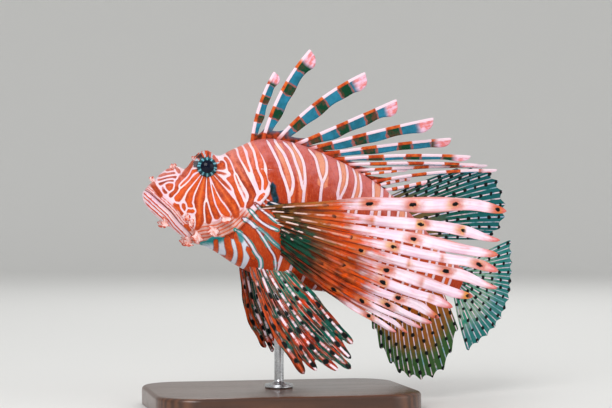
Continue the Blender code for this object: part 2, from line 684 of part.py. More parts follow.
def body_zones():
    """Outlines, on the side of the fish, of the zones that part the body."""
    high, low, far = 90.0, -90.0, 320.0
    below_mouth = [(41.5, low), (-30.0, low), (-30.0, 2.6)]
    ahead = [(-30.0, high), (-30.0, low), (46.0, low)]
    return {
        "jaw": shift_line(MOUTH_LINE, -GAP / 2) + below_mouth,
        "not_jaw": shift_line(MOUTH_LINE, GAP / 2) + below_mouth,
        "head": shift_line(GILL_EDGE, GAP / 2) + ahead,
        "grown_head": shift_line(GILL_EDGE, -GAP) + ahead,
        "not_head": shift_line(GILL_EDGE, -GAP / 2) + [(far, high), (far, low)],
        "tail": [(TAIL_CUT + GAP / 2, high), (TAIL_CUT + GAP / 2, low), (far, low), (far, high)],
        "not_tail": [(TAIL_CUT - GAP / 2, high), (TAIL_CUT - GAP / 2, low), (-30.0, low), (-30.0, high)],
    }


def make_head(zones):
    """The head with its gill covers, lower jaw and eyes."""
    wide = 60.0
    head = body_solid("head", head_and_cover_relief)
    combine(head, "INTERSECT", [prism("cut", zones["head"], -wide, wide)])
    covers = []
    for side, name in ((1, "gill_cover_left"), (-1, "gill_cover_right")):
        cover = copy_of(head, name)
        inner, outer = side * (COVER_INNER + GAP), side * wide
        combine(cover, "INTERSECT", [prism("cut", COVER_OUTLINE, min(inner, outer), max(inner, outer))])
        covers.append(cover)
    pocket = shift_line(COVER_OUTLINE, COVER_POCKET)
    for side in (1, -1):
        inner, outer = side * COVER_INNER, side * wide
        combine(head, "DIFFERENCE", [prism("cut", pocket, min(inner, outer), max(inner, outer))])
    combine(head, "DIFFERENCE", [prism("cut", zones["not_jaw"], -wide, wide)])
    jaw = body_solid("lower_jaw", head_and_jaw_relief)
    combine(jaw, "INTERSECT", [prism("cut", zones["jaw"], -wide, wide)])
    combine(head, "UNION", flaps(HEAD_FLAPS, head_and_cover_relief))
    combine(jaw, "UNION", flaps(JAW_FLAPS, head_and_jaw_relief))
    eyes = []
    for side, name in ((1, "eye_left"), (-1, "eye_right")):
        centre = (EYE_ALONG, EYE_UP, side * EYE_OUT)
        eyes.append(ball(name, centre, EYE_RADIUS))
        combine(head, "DIFFERENCE", [ball("socket", centre, EYE_RADIUS + GAP)])
        nose = surface(*NOSTRIL, head_and_cover_relief)
        combine(head, "DIFFERENCE", [ball("nostril", (nose[0], nose[1], side * nose[2]), NOSTRIL_SIZE, 10, 6)])
    return [head, jaw] + covers + eyes


def make_trunk(zones):
    """The torso behind the gill edge, and the tail stem."""
    wide = 60.0
    torso = body_solid("torso", trunk_relief)
    combine(torso, "INTERSECT", [prism("cut", zones["not_head"], -wide, wide)])
    tail = copy_of(torso, "tail_stem")
    combine(torso, "INTERSECT", [prism("cut", zones["not_tail"], -wide, wide)])
    combine(tail, "INTERSECT", [prism("cut", zones["tail"], -wide, wide)])
    return [torso, tail]


def make_spiny_dorsal():
    """Thirteen spines, each with its own ribbon behind it, joined low down."""
    rays = []
    for number, (root, middle, tip) in enumerate(DORSAL_SPINES):
        lean = SPINE_LEAN[number]
        base = back_at(root, ROOT_DEEP)
        rays.append((base, middle + (lean * 0.3,), tip + (lean,)))
    reach = ribbon(SPINE_FRONT, SPINE_RIBBONS, widest=0.45, foot=0.45, tip=0.3, stiff_front=True)
    return fan_solid("spiny_dorsal_fin", rays, SPINE_ROWS, SPINE_WEB, reach, SPINE_RIDGE, SKIN, ROOT_SINK,
                     normal=(0.0, 0.0, -1.0))


def make_median_fins():
    """The soft dorsal, anal and tail fins, in the fish's middle plane."""
    reach = ribbon(MEDIAN_RIBBON, MEDIAN_RIBBON, widest=0.5, foot=0.6, tip=0.5)
    fins = []
    for name, keys, count, at in (
        ("soft_dorsal_fin", SOFT_DORSAL_KEYS, SOFT_DORSAL_RAYS, back_at),
        ("anal_fin", ANAL_KEYS, ANAL_RAYS, belly_at),
    ):
        ends = [(place, *with_middle(at(root, ROOT_DEEP), tip, bow)) for place, root, tip, bow in keys]
        fins.append(fan_solid(name, spread(ends, count), MEDIAN_ROWS, MEDIAN_WEB, reach, MEDIAN_RIDGE, SKIN, ROOT_SINK))
    ends = [(place, *with_middle(root + (0.0,), tip, bow)) for place, root, tip, bow in CAUDAL_KEYS]
    fins.append(fan_solid("caudal_fin", spread(ends, CAUDAL_RAYS), MEDIAN_ROWS, MEDIAN_WEB, reach, MEDIAN_RIDGE, SKIN,
                          ROOT_SINK))
    return fins


def far_side(keys, squeeze, level, widen):
    """Key rays carried over to the right side, drawn towards a level and spread further out."""
    moved = []
    for place, *points in keys:
        moved.append((place, *((a, level + (u - level) * (squeeze if k else 1.0), -w * (widen if k else 1.0))
                               for k, (a, u, w) in enumerate(points))))
    return moved


def make_paired_fins():
    """The pectoral fins with their long straps, and the pelvic fins."""
    strap = ribbon(PECTORAL_STRAP, PECTORAL_STRAP, widest=0.55, foot=0.3, tip=0.2)
    leafy = ribbon(PELVIC_RIBBON, PELVIC_RIBBON, widest=0.5, foot=0.6, tip=0.4)
    right_pectoral = far_side(PECTORAL_KEYS, 0.62, -15.0, 1.25)
    web = np.linspace(PECTORAL_WEB_TOP, PECTORAL_WEB_LOW, PECTORAL_RAYS - 1)
    fins = []
    for name, keys in (("pectoral_fin_left", PECTORAL_KEYS), ("pectoral_fin_right", right_pectoral)):
        fins.append(fan_solid(name, spread(keys, PECTORAL_RAYS), PECTORAL_ROWS, web, strap, PECTORAL_RIDGE,
                              SKIN, ROOT_SINK, bent=False))
    for name, keys in (("pelvic_fin_left", PELVIC_LEFT_KEYS), ("pelvic_fin_right", PELVIC_RIGHT_KEYS)):
        fins.append(fan_solid(name, spread(keys, PELVIC_RAYS), PELVIC_ROWS, PELVIC_WEB, leafy, PELVIC_RIDGE, SKIN,
                              ROOT_SINK, bent=False))
    return fins


def turned(name, profile, centre, sides):
    """A round piece from its profile of radii and heights, bottom to top."""
    points = []
    for radius, height in profile:
        for k in range(sides):
            angle = k * 2 * math.pi / sides
            points.append((centre[0] + radius * math.cos(angle), centre[1] + radius * math.sin(angle), height))
    faces = [tuple(range(sides)), tuple(range(len(points) - 1, len(points) - 1 - sides, -1))]
    for ring in range(len(profile) - 1):
        for k in range(sides):
            n = (k + 1) % sides
            low, high = ring * sides, (ring + 1) * sides
            faces.append((low + k, low + n, high + n, high + k))
    return new_object(name, points, faces)


def make_stand():
    """A flat base with rounded corners, and one rod up to the belly."""
    outline = []
    steps = 6
    for cx, cy, start in ((1, 1, 0.0), (-1, 1, 0.5), (-1, -1, 1.0), (1, -1, 1.5)):
        for k in range(steps + 1):
            angle = (start + 0.5 * k / steps) * math.pi
            outline.append((cx * (BASE_LENGTH / 2 - BASE_CORNER) + math.cos(angle) * BASE_CORNER,
                            cy * (BASE_WIDTH / 2 - BASE_CORNER) + math.sin(angle) * BASE_CORNER))
    outline = np.array(outline)
    count = len(outline)
    points = []
    for inset, height in ((0.0, 0.0), (0.0, BASE_THICK - BASE_EDGE), (BASE_EDGE, BASE_THICK)):
        scale = 1.0 - inset / np.array([BASE_LENGTH / 2, BASE_WIDTH / 2])
        points += [(x, y, height) for x, y in outline * scale]
    faces = [tuple(range(count - 1, -1, -1)), tuple(range(2 * count, 3 * count))]
    for ring in range(2):
        for k in range(count):
            n = (k + 1) % count
            faces.append((ring * count + k, ring * count + n, ring * count + count + n, ring * count + count + k))
    base = new_object("stand_base", points, faces)
    foot = BASE_THICK + GAP
    top = posed(np.array([belly_at(ROD_ALONG)]))[0, 2] + ROD_DEEP
    profile = (
        (COLLAR_RADIUS, foot), (COLLAR_RADIUS, foot + COLLAR_HEIGHT * 0.6), (COLLAR_RADIUS * 0.6, foot + COLLAR_HEIGHT),
        (ROD_RADIUS, foot + COLLAR_HEIGHT), (ROD_RADIUS, top - CUP_HEIGHT), (CUP_RADIUS, top - CUP_HEIGHT * 0.55),
        (CUP_RADIUS, top),
    )
    rod = turned("stand_rod", profile, posed(np.array([belly_at(ROD_ALONG)]))[0, :2], ROD_SIDES)
    return base, rod


def main():
    for obj in list(bpy.data.objects):
        bpy.data.objects.remove(obj, do_unlink=True)
    zones = body_zones()
    flesh = make_head(zones) + make_trunk(zones)
    for obj in flesh:
        finish_pose(obj)
    grown_head = body_solid("grown_head", head_and_cover_relief, GAP)
    combine(grown_head, "INTERSECT", [prism("cut", zones["grown_head"], -90.0, 90.0)])
    cutters = [finish_pose(grown_head), finish_pose(body_solid("grown_body", trunk_relief, GAP))]
    fins = [make_spiny_dorsal()] + make_median_fins() + make_paired_fins()
    base, rod = make_stand()
    for obj in fins + [rod]:
        for cutter in cutters:
            combine(obj, "DIFFERENCE", [copy_of(cutter, "cut")])
    for cutter in cutters:
        bpy.data.objects.remove(cutter, do_unlink=True)
    finishes = {
        "eye": material("eye", (0.02, 0.05, 0.05), 0.08),
        "fin": material("fin_skin", (0.72, 0.42, 0.34), 0.4),
        "stand_base": material("dark_walnut", (0.09, 0.045, 0.025), 0.35),
        "stand_rod": material("brushed_steel", (0.62, 0.62, 0.63), 0.28, 1.0),
        "body": material("striped_skin", (0.62, 0.16, 0.06), 0.38),
    }
    for obj in flesh + fins + [base, rod]:
        kind = next((k for k in ("eye", "stand_base", "stand_rod") if obj.name.startswith(k)), None)
        kind = kind or ("fin" if "fin" in obj.name else "body")
        obj.data.materials.clear()
        obj.data.materials.append(finishes[kind])
        for v in obj.data.vertices:
            v.co = v.co * MM
        obj.data.shade_smooth()
        obj.data.set_sharp_from_angle(angle=SHARP_ANGLE)


main()
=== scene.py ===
import math

import bpy
import numpy as np
from bpy.props import FloatProperty, FloatVectorProperty, IntProperty, PointerProperty
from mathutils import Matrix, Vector


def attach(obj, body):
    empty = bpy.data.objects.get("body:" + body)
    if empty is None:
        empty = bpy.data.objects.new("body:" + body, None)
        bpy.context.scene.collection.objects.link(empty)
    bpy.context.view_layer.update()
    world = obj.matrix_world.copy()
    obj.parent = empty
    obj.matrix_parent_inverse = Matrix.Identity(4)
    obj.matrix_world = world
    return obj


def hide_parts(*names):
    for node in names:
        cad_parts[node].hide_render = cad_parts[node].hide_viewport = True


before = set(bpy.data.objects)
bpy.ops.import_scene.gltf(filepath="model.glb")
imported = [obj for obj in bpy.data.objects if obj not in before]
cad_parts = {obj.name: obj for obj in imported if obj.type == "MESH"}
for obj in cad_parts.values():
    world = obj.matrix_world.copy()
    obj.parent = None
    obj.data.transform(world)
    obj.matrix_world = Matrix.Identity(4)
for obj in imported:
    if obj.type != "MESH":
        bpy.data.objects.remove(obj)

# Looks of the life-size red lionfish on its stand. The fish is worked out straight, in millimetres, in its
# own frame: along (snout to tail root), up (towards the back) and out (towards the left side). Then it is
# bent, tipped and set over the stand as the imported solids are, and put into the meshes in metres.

bl_info = {
    "name": "Lionfish Display Model",
    "version": (1, 0, 0),
    "blender": (4, 5, 0),
    "location": "3D View > Sidebar > Lionfish",
    "description": "Dresses a packed lionfish model with skin, fins, eyes, stand and studio",
    "category": "Mesh",
}

MM = 0.001
BODY = "root"
SKIN_NODES = ("head", "torso", "tail_stem", "lower_jaw", "gill_cover_left", "gill_cover_right")

# Pose, as the solids have it
STANDARD_LENGTH = 225.0
NOSE_UP = math.radians(16.2)
BEND_START, BEND_END = 0.35 * STANDARD_LENGTH, 1.25 * STANDARD_LENGTH
BEND_ANGLE, BEND_POWER, BEND_STEPS = math.radians(34.0), 1.3, 240
SNOUT_HEIGHT, SNOUT_AHEAD = 137.0, 87.4

# Body profile: along, back, belly, half width, height of the widest point
BODY_STATIONS = (
    (0.0, -1.0, -1.0, 0.0, -1.0),
    (0.5, 1.4, -3.0, 3.4, -0.8),
    (1.5, 2.9, -4.8, 5.3, -0.5),
    (3.0, 5.6, -6.4, 6.9, -0.2),
    (5.0, 9.6, -8.4, 8.2, 0.4),
    (7.7, 14.6, -10.4, 9.5, 0.8),
    (11.0, 18.6, -12.2, 10.6, 1.0),
    (15.0, 21.4, -14.0, 11.8, 1.0),
    (18.0, 21.8, -15.2, 12.5, 1.0),
    (20.5, 21.4, -16.0, 13.1, 1.0),
    (23.5, 24.8, -17.0, 13.7, 1.2),
    (27.0, 30.6, -18.4, 14.6, 1.6),
    (31.0, 33.4, -19.9, 15.5, 2.0),
    (36.0, 34.8, -21.2, 16.5, 2.4),
    (41.0, 36.4, -21.9, 17.4, 3.0),
    (46.0, 41.2, -22.2, 18.3, 3.6),
    (52.0, 46.2, -23.0, 19.3, 4.6),
    (58.0, 51.0, -24.6, 20.3, 5.8),
    (66.0, 54.9, -27.2, 21.4, 7.2),
    (76.0, 57.0, -29.6, 22.0, 8.2),
    (88.0, 57.6, -31.0, 21.8, 8.6),
    (104.0, 56.6, -31.6, 20.4, 8.8),
    (123.0, 53.8, -30.0, 17.8, 9.0),
    (142.0, 49.0, -26.5, 15.0, 9.2),
    (156.0, 44.4, -23.0, 12.9, 9.2),
    (170.0, 38.0, -19.4, 10.8, 8.8),
    (185.0, 30.2, -15.0, 8.7, 7.8),
    (200.0, 22.6, -10.4, 6.9, 6.4),
    (213.0, 16.2, -6.6, 5.6, 5.0),
    (222.0, 12.6, -4.4, 4.6, 4.2),
    (226.0, 11.0, -2.8, 3.4, 4.0),
    (227.6, 4.0, 4.0, 0.0, 4.0),
)

# Head
EYE_ALONG, EYE_UP, EYE_OUT = 33.4, 25.8, 8.4
EYE_RADIUS = 6.8
EYE_AXIS = (-0.12, 0.04, 1.0)
EYE_RINGS, IRIS_RINGS, EYE_SIDES, IRIS_ANGLE = 62, 40, 96, 66.0
CORNEA_HEIGHT, CORNEA_ANGLE = 0.35, 34.0
LID_THICK, SOCKET_DEEP, LID_REACH = 0.4, 1.6, 125.0
CREST, CREST_SIZE = (31.3, 33.0, 6.5), (4.2, 5.0, 3.6)
CREST_HEIGHT = 4.3
NOSTRIL = (19.5, 17.0)
MOUTH_END, MOUTH_FADE = 39.5, 2.5
JAW_LINE_STEP, UPPER_LINE_STEP, COVER_LINE_STEP = 1.75, 1.3, 2.1

# Skin: where its rings are closest together and where they widen, and how far it lies inside the plain body
SNOUT_END, HEAD_END, TAIL_START = 1.2, 78.0, 226.0
SKIN_SUNK = 0.2
MOUTH_LINE = ((-4.0, 4.0), (1.4, 1.2), (9.6, -3.1), (18.9, -7.6), (26.1, -12.6), (34.1, -16.8), (38.0, -18.9),
              (40.0, -27.0))
UPPER_JAW = ((3.0, 4.8), (10.5, 0.4), (19.5, -4.0), (27.0, -9.2), (34.5, -13.6), (38.5, -16.2))
CHEEK_BONE = ((28.0, 13.5), (37.0, 8.5), (48.0, 5.0))
PREOPERCLE = ((47.0, 19.0), (50.5, 8.0), (50.5, -4.0), (44.5, -12.5))
GILL_EDGE = ((40.5, -40.0), (42.7, -19.9), (53.3, -14.6), (62.0, -6.4), (66.8, 3.7), (71.0, 12.8),
             (74.0, 19.5), (74.2, 24.0), (71.2, 27.4), (64.0, 32.5), (56.5, 40.0), (49.5, 48.0),
             (44.0, 62.0))

# Skin flaps: along, up, direction, length, width
FLAPS = (
    (26.0, 28.6, (-0.6, 1.0, 0.3), 3.2, 1.8),
    (13.4, 18.8, (0.0, 1.0, 0.35), 4.8, 2.0),
    (5.0, 8.6, (-0.9, 0.55, 0.5), 4.2, 1.9),
    (38.2, -15.6, (0.2, -0.8, 0.6), 7.4, 6.2),
    (45.6, -10.0, (0.5, -0.6, 0.7), 7.2, 6.4),
    (50.0, -1.0, (0.6, -0.5, 0.7), 6.8, 5.4),
    (33.4, -9.4, (-0.3, -0.8, 0.6), 4.4, 3.8),
    (29.6, -6.8, (-0.3, -0.8, 0.6), 4.0, 3.0),
    (17.4, -12.6, (0.1, -1.0, 0.35), 5.4, 4.2),
    (35.0, -19.8, (0.1, -1.0, 0.4), 5.4, 5.6),
)
FLAP_GRID = (40, 24)
FLAP_THICK, FLAP_SINK, FLAP_DROOP = 0.9, 1.5, 0.12
FLAP_FACING = (0.3, 0.2, 1.0)

# How deep the fins' roots lie in the body, and how far their rays go on below them
ROOT_DEEP, ROOT_SINK = 1.5, 2.5
# The value of the field "lead" on the skin between two rays, larger than on any ribbon
WEB_LEAD = 9.0

# Dorsal spines: root along the back, then middle and tip
DORSAL_SPINES = (
    (58.0, (56.0, 72.0), (59.0, 97.0)),
    (64.5, (69.0, 94.0), (78.0, 118.0)),
    (73.0, (96.0, 93.0), (116.0, 114.0)),
    (85.0, (112.0, 78.6), (143.5, 104.4)),
    (94.0, (124.0, 74.2), (169.5, 99.8)),
    (103.0, (136.5, 70.4), (190.5, 92.0)),
    (111.5, (141.0, 65.4), (203.5, 84.0)),
    (119.5, (156.0, 65.3), (212.0, 80.6)),
    (127.5, (165.0, 64.8), (225.5, 83.2)),
    (132.5, (149.5, 57.1), (165.0, 63.4)),
    (141.0, (171.0, 62.0), (226.0, 81.2)),
    (145.5, (158.0, 53.6), (168.4, 58.2)),
    (150.5, (164.4, 51.9), (177.4, 59.6)),
)
SPINE_LEAN = (1.5, -2.0, 2.5, -3.0, 3.5, -4.0, 4.5, 3.0, -4.5, -3.0, 6.0, -2.5, 3.5)
SPINE_FRONT = 1.0
SPINE_RIBBONS = (5.0, 7.4, 8.0, 7.0, 6.4, 4.6, 3.0, 1.8, 1.4, 1.0, 1.6, 1.4, 1.8)

# Fans in the middle plane: place in the fan, root, tip, and how far the ray bows
SOFT_DORSAL_KEYS = (
    (0.0, 157.0, (200.5, 73.5), 0.5),
    (0.12, 161.0, (212.5, 77.5), 1.0),
    (0.25, 165.5, (223.5, 79.0), 1.5),
    (0.5, 174.5, (241.0, 69.5), 2.0),
    (0.7, 182.0, (249.0, 54.0), 1.5),
    (0.85, 188.0, (246.0, 43.0), 1.0),
    (1.0, 193.0, (236.0, 36.0), 0.5),
)
ANAL_KEYS = (
    (0.0, 165.0, (171.5, -43.0), -0.8),
    (0.111, 170.0, (180.5, -54.0), -1.2),
    (0.222, 174.5, (190.5, -61.5), -1.5),
    (0.4, 181.0, (204.0, -67.0), -2.0),
    (0.6, 190.0, (220.5, -65.5), -1.8),
    (0.8, 200.0, (233.5, -54.5), -1.2),
    (1.0, 212.0, (235.0, -29.0), 0.0),
)
CAUDAL_KEYS = (
    (0.0, (221.0, 11.0), (261.5, 39.5), 1.0),
    (0.25, (224.0, 8.5), (270.5, 20.0), 0.5),
    (0.5, (225.0, 4.5), (275.0, 2.0), 0.0),
    (0.75, (224.5, 0.5), (269.0, -19.0), -0.5),
    (1.0, (222.0, -2.5), (250.0, -39.0), -1.0),
)

# Paired fins: place in the fan, then root, middle and tip
PECTORAL_KEYS = (
    (0.0, (74.0, 11.0, 22.0), (158.0, 38.0, 48.0), (215.0, 52.0, 56.0)),
    (0.13, (81.0, 10.0, 22.5), (150.0, 19.5, 46.0), (216.0, 28.0, 58.0)),
    (0.24, (83.0, 7.0, 23.0), (146.0, 11.0, 47.0), (218.0, 17.0, 60.0)),
    (0.35, (85.0, 4.0, 23.0), (138.0, 2.5, 44.0), (222.0, 7.0, 60.0)),
    (0.49, (89.0, 0.0, 23.0), (135.0, -7.5, 41.0), (204.0, -11.0, 56.0)),
    (0.62, (90.0, -4.0, 23.0), (132.0, -15.5, 39.0), (194.0, -21.0, 53.0)),
    (0.76, (92.0, -8.0, 22.0), (134.0, -23.0, 36.0), (189.0, -31.0, 48.0)),
    (1.0, (94.0, -15.0, 20.0), (126.0, -28.0, 30.0), (172.0, -40.0, 42.0)),
)
PELVIC_LEFT_KEYS = (
    (0.0, (78.0, -25.0, 8.0), (94.0, -51.0, 20.0), (124.0, -82.0, 34.0)),
    (0.2, (82.0, -24.0, 9.0), (103.5, -53.0, 23.0), (131.0, -77.0, 37.0)),
    (0.6, (86.0, -23.0, 9.0), (115.0, -51.0, 26.0), (150.0, -71.0, 42.0)),
    (1.0, (95.0, -19.0, 9.0), (117.0, -34.0, 22.0), (148.0, -56.0, 36.0)),
)
PELVIC_RIGHT_KEYS = (
    (0.0, (74.0, -25.0, -7.0), (84.0, -45.0, -13.0), (109.0, -74.0, -30.0)),
    (0.55, (82.0, -25.0, -8.0), (101.0, -51.0, -18.0), (127.0, -76.0, -34.0)),
    (1.0, (90.0, -22.0, -8.0), (116.0, -42.0, -18.0), (144.0, -60.0, -34.0)),
)
# The right pectoral fin: the level that its rays are drawn towards, by what share, and how far it is spread
FAR_LEVEL, FAR_SQUEEZE, FAR_SPREAD = -15.0, 0.62, 1.25
# Half widths of the pectoral straps, before and behind each ray
STRAPS_BEFORE = (4.6, 3.4, 4.6, 4.6, 3.6, 4.4, 4.2, 4.4, 3.2, 2.6, 2.2, 2.4)
STRAPS_BEHIND = (4.6, 3.8, 4.6, 4.2, 3.8, 4.6, 4.2, 4.4, 3.0, 2.4, 2.2, 2.2)

# Base: points round a corner and over an edge, rounding of its lower edge, and share of a corner to a ring
CORNER_POINTS, EDGE_POINTS, LOWER_EDGE, FLAT_RING = 25, 9, 0.8, 0.6
# Rod: place along the fish, way into the belly, and its grid, then its foot, its plain part and its cap
ROD_ALONG, ROD_IN, ROD_POINTS, ROD_SIDES = 100.0, 1.5, 7, 72
FOOT_RADIUS, FOOT_SIDE, FOOT_ROUND, FOOT_FLARE = 9.0, 2.0, 0.8, 1.5
SHAFT_FROM_FOOT, SHAFT_FROM_TOP = 6.0, 8.0
CAP_WIDER, CAP_HEIGHT, CAP_FLARE = 3.0, 7.0, 4.0

# Stage, in metres: the floor's flat part and how far its rim curves out and up, then lights by place and size
FLOOR_FLAT, FLOOR_OUT, FLOOR_RISE, FLOOR_SIDES = 2.4, 1.4, 2.0, 96
LIGHTS = {
    "key": ((-0.75, -1.35, 1.25), 1.1),
    "fill": ((1.3, -1.0, 0.6), 1.2),
    "rim": ((0.5, 1.3, 1.2), 0.9),
}
LIGHT_TARGET = (0.02, 0.0, 0.12)
# Camera: its turn from the side view, and where it aims from the snout. The photo's width is in pixels.
CAMERA_TURN = math.radians(-12.0)
AIM_FROM_SNOUT = (0.10498, 0.00085, -0.00755)
PHOTO_WIDTH, PIXELS_PER_METRE, SENSOR_WIDTH = 612, 1560, 36.0

# Noise in the finishes: its roughness, and how far its fine, middle and wide clouds are moved apart
NOISE_ROUGHNESS = 0.55
CLOUD_SHIFTS = (0.0, 0.2, 0.5)
PUPIL_COLOUR = (0.001, 0.003, 0.014)

# Markings are lines drawn on the side of the fish: along, up. This one bounds the pale head above the gill.
GROUND_BORDER = ((73.7, 27.1), (71.2, 28.8), (69.9, 31.4), (69.2, 34.8), (68, 37.4), (66.3, 39.9),
                 (64.4, 42.4), (62.4, 44.5), (60.6, 46.7), (59, 48.5), (57.8, 50))
# Stripes of the head: a tone from 0 for brick to 1 for orange, then along, up and half width at each point
STRIPES = (
    (0.55, ((24.4, 27.2, 0.5), (23.6, 23.6, 0.8), (22.7, 20.6, 0.9), (21.2, 17.4, 0.95), (19.8, 14.7, 1),
         (18.7, 12.2, 1), (17.9, 9.4, 1), (17.8, 6.2, 0.9), (17, 4.4, 0.8), (16.3, 2.4, 0.6))),
    (0.9, ((25.2, 20.4, 0.5), (23.9, 17.7, 0.6), (22.3, 14.2, 0.6), (21.2, 11.9, 0.55), (20, 10.1, 0.4))),
    (0.85, ((28.6, 19.1, 0.6), (27.1, 17.1, 0.7), (26.1, 14.1, 0.8), (24.9, 12, 0.85), (23.4, 9.6, 0.9),
         (22.3, 7.2, 1), (21.3, 4.4, 1.3), (20.4, 2.1, 1.5), (19.6, 0.4, 1.2))),
    (0.8, ((29.9, 16.2, 0.6), (29.4, 13.8, 0.8), (28.4, 10.9, 0.9), (27.5, 8, 1), (27.2, 5, 1.2),
         (27.2, 2, 1.3), (27.8, 0.1, 1.1), (29.8, -0.8, 0.7))),
    (0.6, ((35.2, 19.4, 1.2), (34.4, 16, 1.8), (33.5, 12.9, 2), (33.4, 9.8, 2.3), (33.3, 6.8, 2.4),
         (33.7, 3.6, 2.4), (34.9, -0.8, 2.3), (36.1, -4.8, 2.1), (37.2, -8.4, 1.8), (37.4, -11.6, 1))),
    (0.6, ((38.7, 19.6, 0.7), (38.3, 16.4, 0.85), (38.4, 13.8, 0.85), (38.8, 11, 0.9), (39.3, 8.3, 1.2),
         (40.5, 5.9, 1.35), (42, 3.2, 1.4), (44.2, 0.4, 1.5), (46.5, -2.2, 1.1))),
    (0.5, ((38.2, 3.5, 0.4), (39.1, 1, 0.9), (40.4, -1.7, 1.1), (42, -4.4, 1.1), (42.8, -6.9, 0.6))),
    (0.9, ((43.7, 7, 0.7), (45.6, 5.3, 1.1), (48, 3.4, 1.3), (50.1, 1.9, 1.1), (52.7, 0.4, 0.6))),
    (0.55, ((42.2, 30.6, 0.9), (42.2, 27.2, 1.2), (42, 23.6, 1.6), (42.4, 20.4, 1.9), (43.2, 17.8, 2.1),
         (44.4, 14.6, 2.3), (46.6, 12.2, 2.3), (50, 9.6, 2.2), (53.5, 7.3, 2.2), (56, 4.6, 1.9),
         (57.6, 1.8, 1.2))),
    (0.7, ((43.9, 34.6, 0.6), (45.4, 32.9, 0.9), (46.6, 30.6, 0.9), (48.1, 27.4, 0.8), (49.4, 24.6, 0.9),
         (50.9, 21.9, 1), (52.6, 19.2, 1.15), (54.6, 16.3, 1.3), (56.8, 13.4, 1.45), (58.3, 11.3, 1.5),
         (59.6, 9.2, 1.1))),
    (0.6, ((47.4, 24.6, 0.6), (47.9, 20.2, 0.75), (49.2, 17.9, 0.65), (50.4, 16, 0.4))),
    (0.8, ((51.0, 25.6, 0.35), (53.2, 22.0, 0.5), (56.0, 18.0, 0.55), (58.8, 15.0, 0.5), (60.4, 12.4, 0.3))),
    (0.35, ((46, 40.6, 1.8), (46.6, 37.6, 2.1), (48.2, 35, 2.1), (50.3, 32.4, 2.2), (52.8, 29.5, 2.3),
         (55.3, 26.4, 2.2), (57.9, 23.8, 2), (60.4, 21.4, 1.8), (62.7, 18.8, 1.7), (64.2, 16.4, 1.7),
         (64.7, 14.2, 1.8), (64, 11.8, 1.5), (63.1, 9.4, 0.9))),
    (0.9, ((50.0, 46.4, 0.6), (51.3, 42.9, 0.6), (52.4, 40.1, 0.85), (54, 37.2, 0.8), (55.8, 34.6, 0.55),
         (57.4, 32.6, 0.5), (58.6, 30.8, 0.3))),
    (0.7, ((52.8, 50.0, 0.8), (54.6, 46, 0.8), (57, 43.4, 1.2), (58, 40.2, 1.3), (59.2, 37.2, 1.3),
         (60.2, 34.6, 1.1), (61.6, 32.1, 1), (63.4, 29.6, 1), (65.2, 26.9, 1.1), (66.8, 24.4, 0.9),
         (68, 21.6, 0.5))),
    (0.9, ((57.2, 51.8, 0.8), (59, 46.8, 0.9), (60.9, 43.4, 1.1), (62.4, 40.8, 1.25), (64, 38, 1.4),
         (65.1, 35.3, 1.2), (66, 32.9, 1), (67.8, 30.8, 0.95), (69.3, 28.4, 0.95), (70.1, 25.6, 1),
         (70, 22.4, 0.6))),
    (0.9, ((67, 13.9, 0.5), (68.6, 15.4, 0.8), (69.6, 17, 0.7), (70.6, 18.8, 0.4))),
    (0.8, ((25.7, -0.8, 0.6), (25.4, -2.8, 1), (26.4, -4.3, 0.5))),
    (0.8, ((28.5, -6.4, 0.7), (29, -4.9, 0.9), (30.1, -3.7, 1), (32.4, -3, 0.8))),
    (0.7, ((29.2, -6.2, 0.6), (30.9, -7.2, 0.8), (32.2, -7.5, 0.5))),
    (0.8, ((32.2, -6.8, 0.5), (33.2, -8.9, 0.6), (34.1, -11.6, 0.5))),
    (0.8, ((30.6, -12.9, 0.5), (31.9, -13.2, 0.6), (33.4, -13.8, 0.5))),
    (0.7, ((18.6, -0.4, 0.4), (20.2, -2, 0.5), (22.9, -3.6, 0.5), (25, -4.9, 0.5), (26.4, -6.3, 0.35))),
    (0.35, ((28.4, 35.4, 1.2), (30.2, 35.2, 1.5), (31.8, 34.9, 1.5), (33.4, 34.6, 1.2))),
    (0.9, ((28.4, 30.4, 1), (30.3, 30.9, 1.1), (32.1, 32.5, 0.9))),
    (0.5, ((3.6, 7.4, 0.35), (4.7, 5.3, 0.5), (6.4, 3.7, 0.5), (8.2, 2.2, 0.5), (10.1, 0.6, 0.4))),
    (0.3, ((7.1, 12, 0.25), (8.9, 13.1, 0.4), (11.9, 14.6, 0.4), (14.4, 15.9, 0.25))),
    (0.4, ((7.2, 10.2, 0.3), (9.2, 11, 0.45), (12.2, 12.4, 0.45), (15.6, 14.1, 0.3))),
    (0.3, ((8.2, 7.8, 0.25), (9.8, 9.2, 0.35), (12, 10.6, 0.35), (14.6, 11.6, 0.25))),
    (0.3, ((11, 16.8, 0.25), (12.2, 17.8, 0.3), (13.4, 18.6, 0.25))),
    (0.4, ((15.4, 19.9, 0.3), (16.5, 19.3, 0.4), (17.4, 18.4, 0.3))),
    (0.8, ((11.7, 6.2, 0.35), (12.1, 8, 0.38), (13.6, 8.9, 0.38), (15.6, 8.7, 0.38), (15.6, 7, 0.38),
         (13.9, 5.8, 0.38), (12.2, 5.8, 0.3))),
    (0.4, ((10.8, 5.8, 0.35), (11.6, 4.4, 0.4), (12.4, 3.6, 0.3))),
)

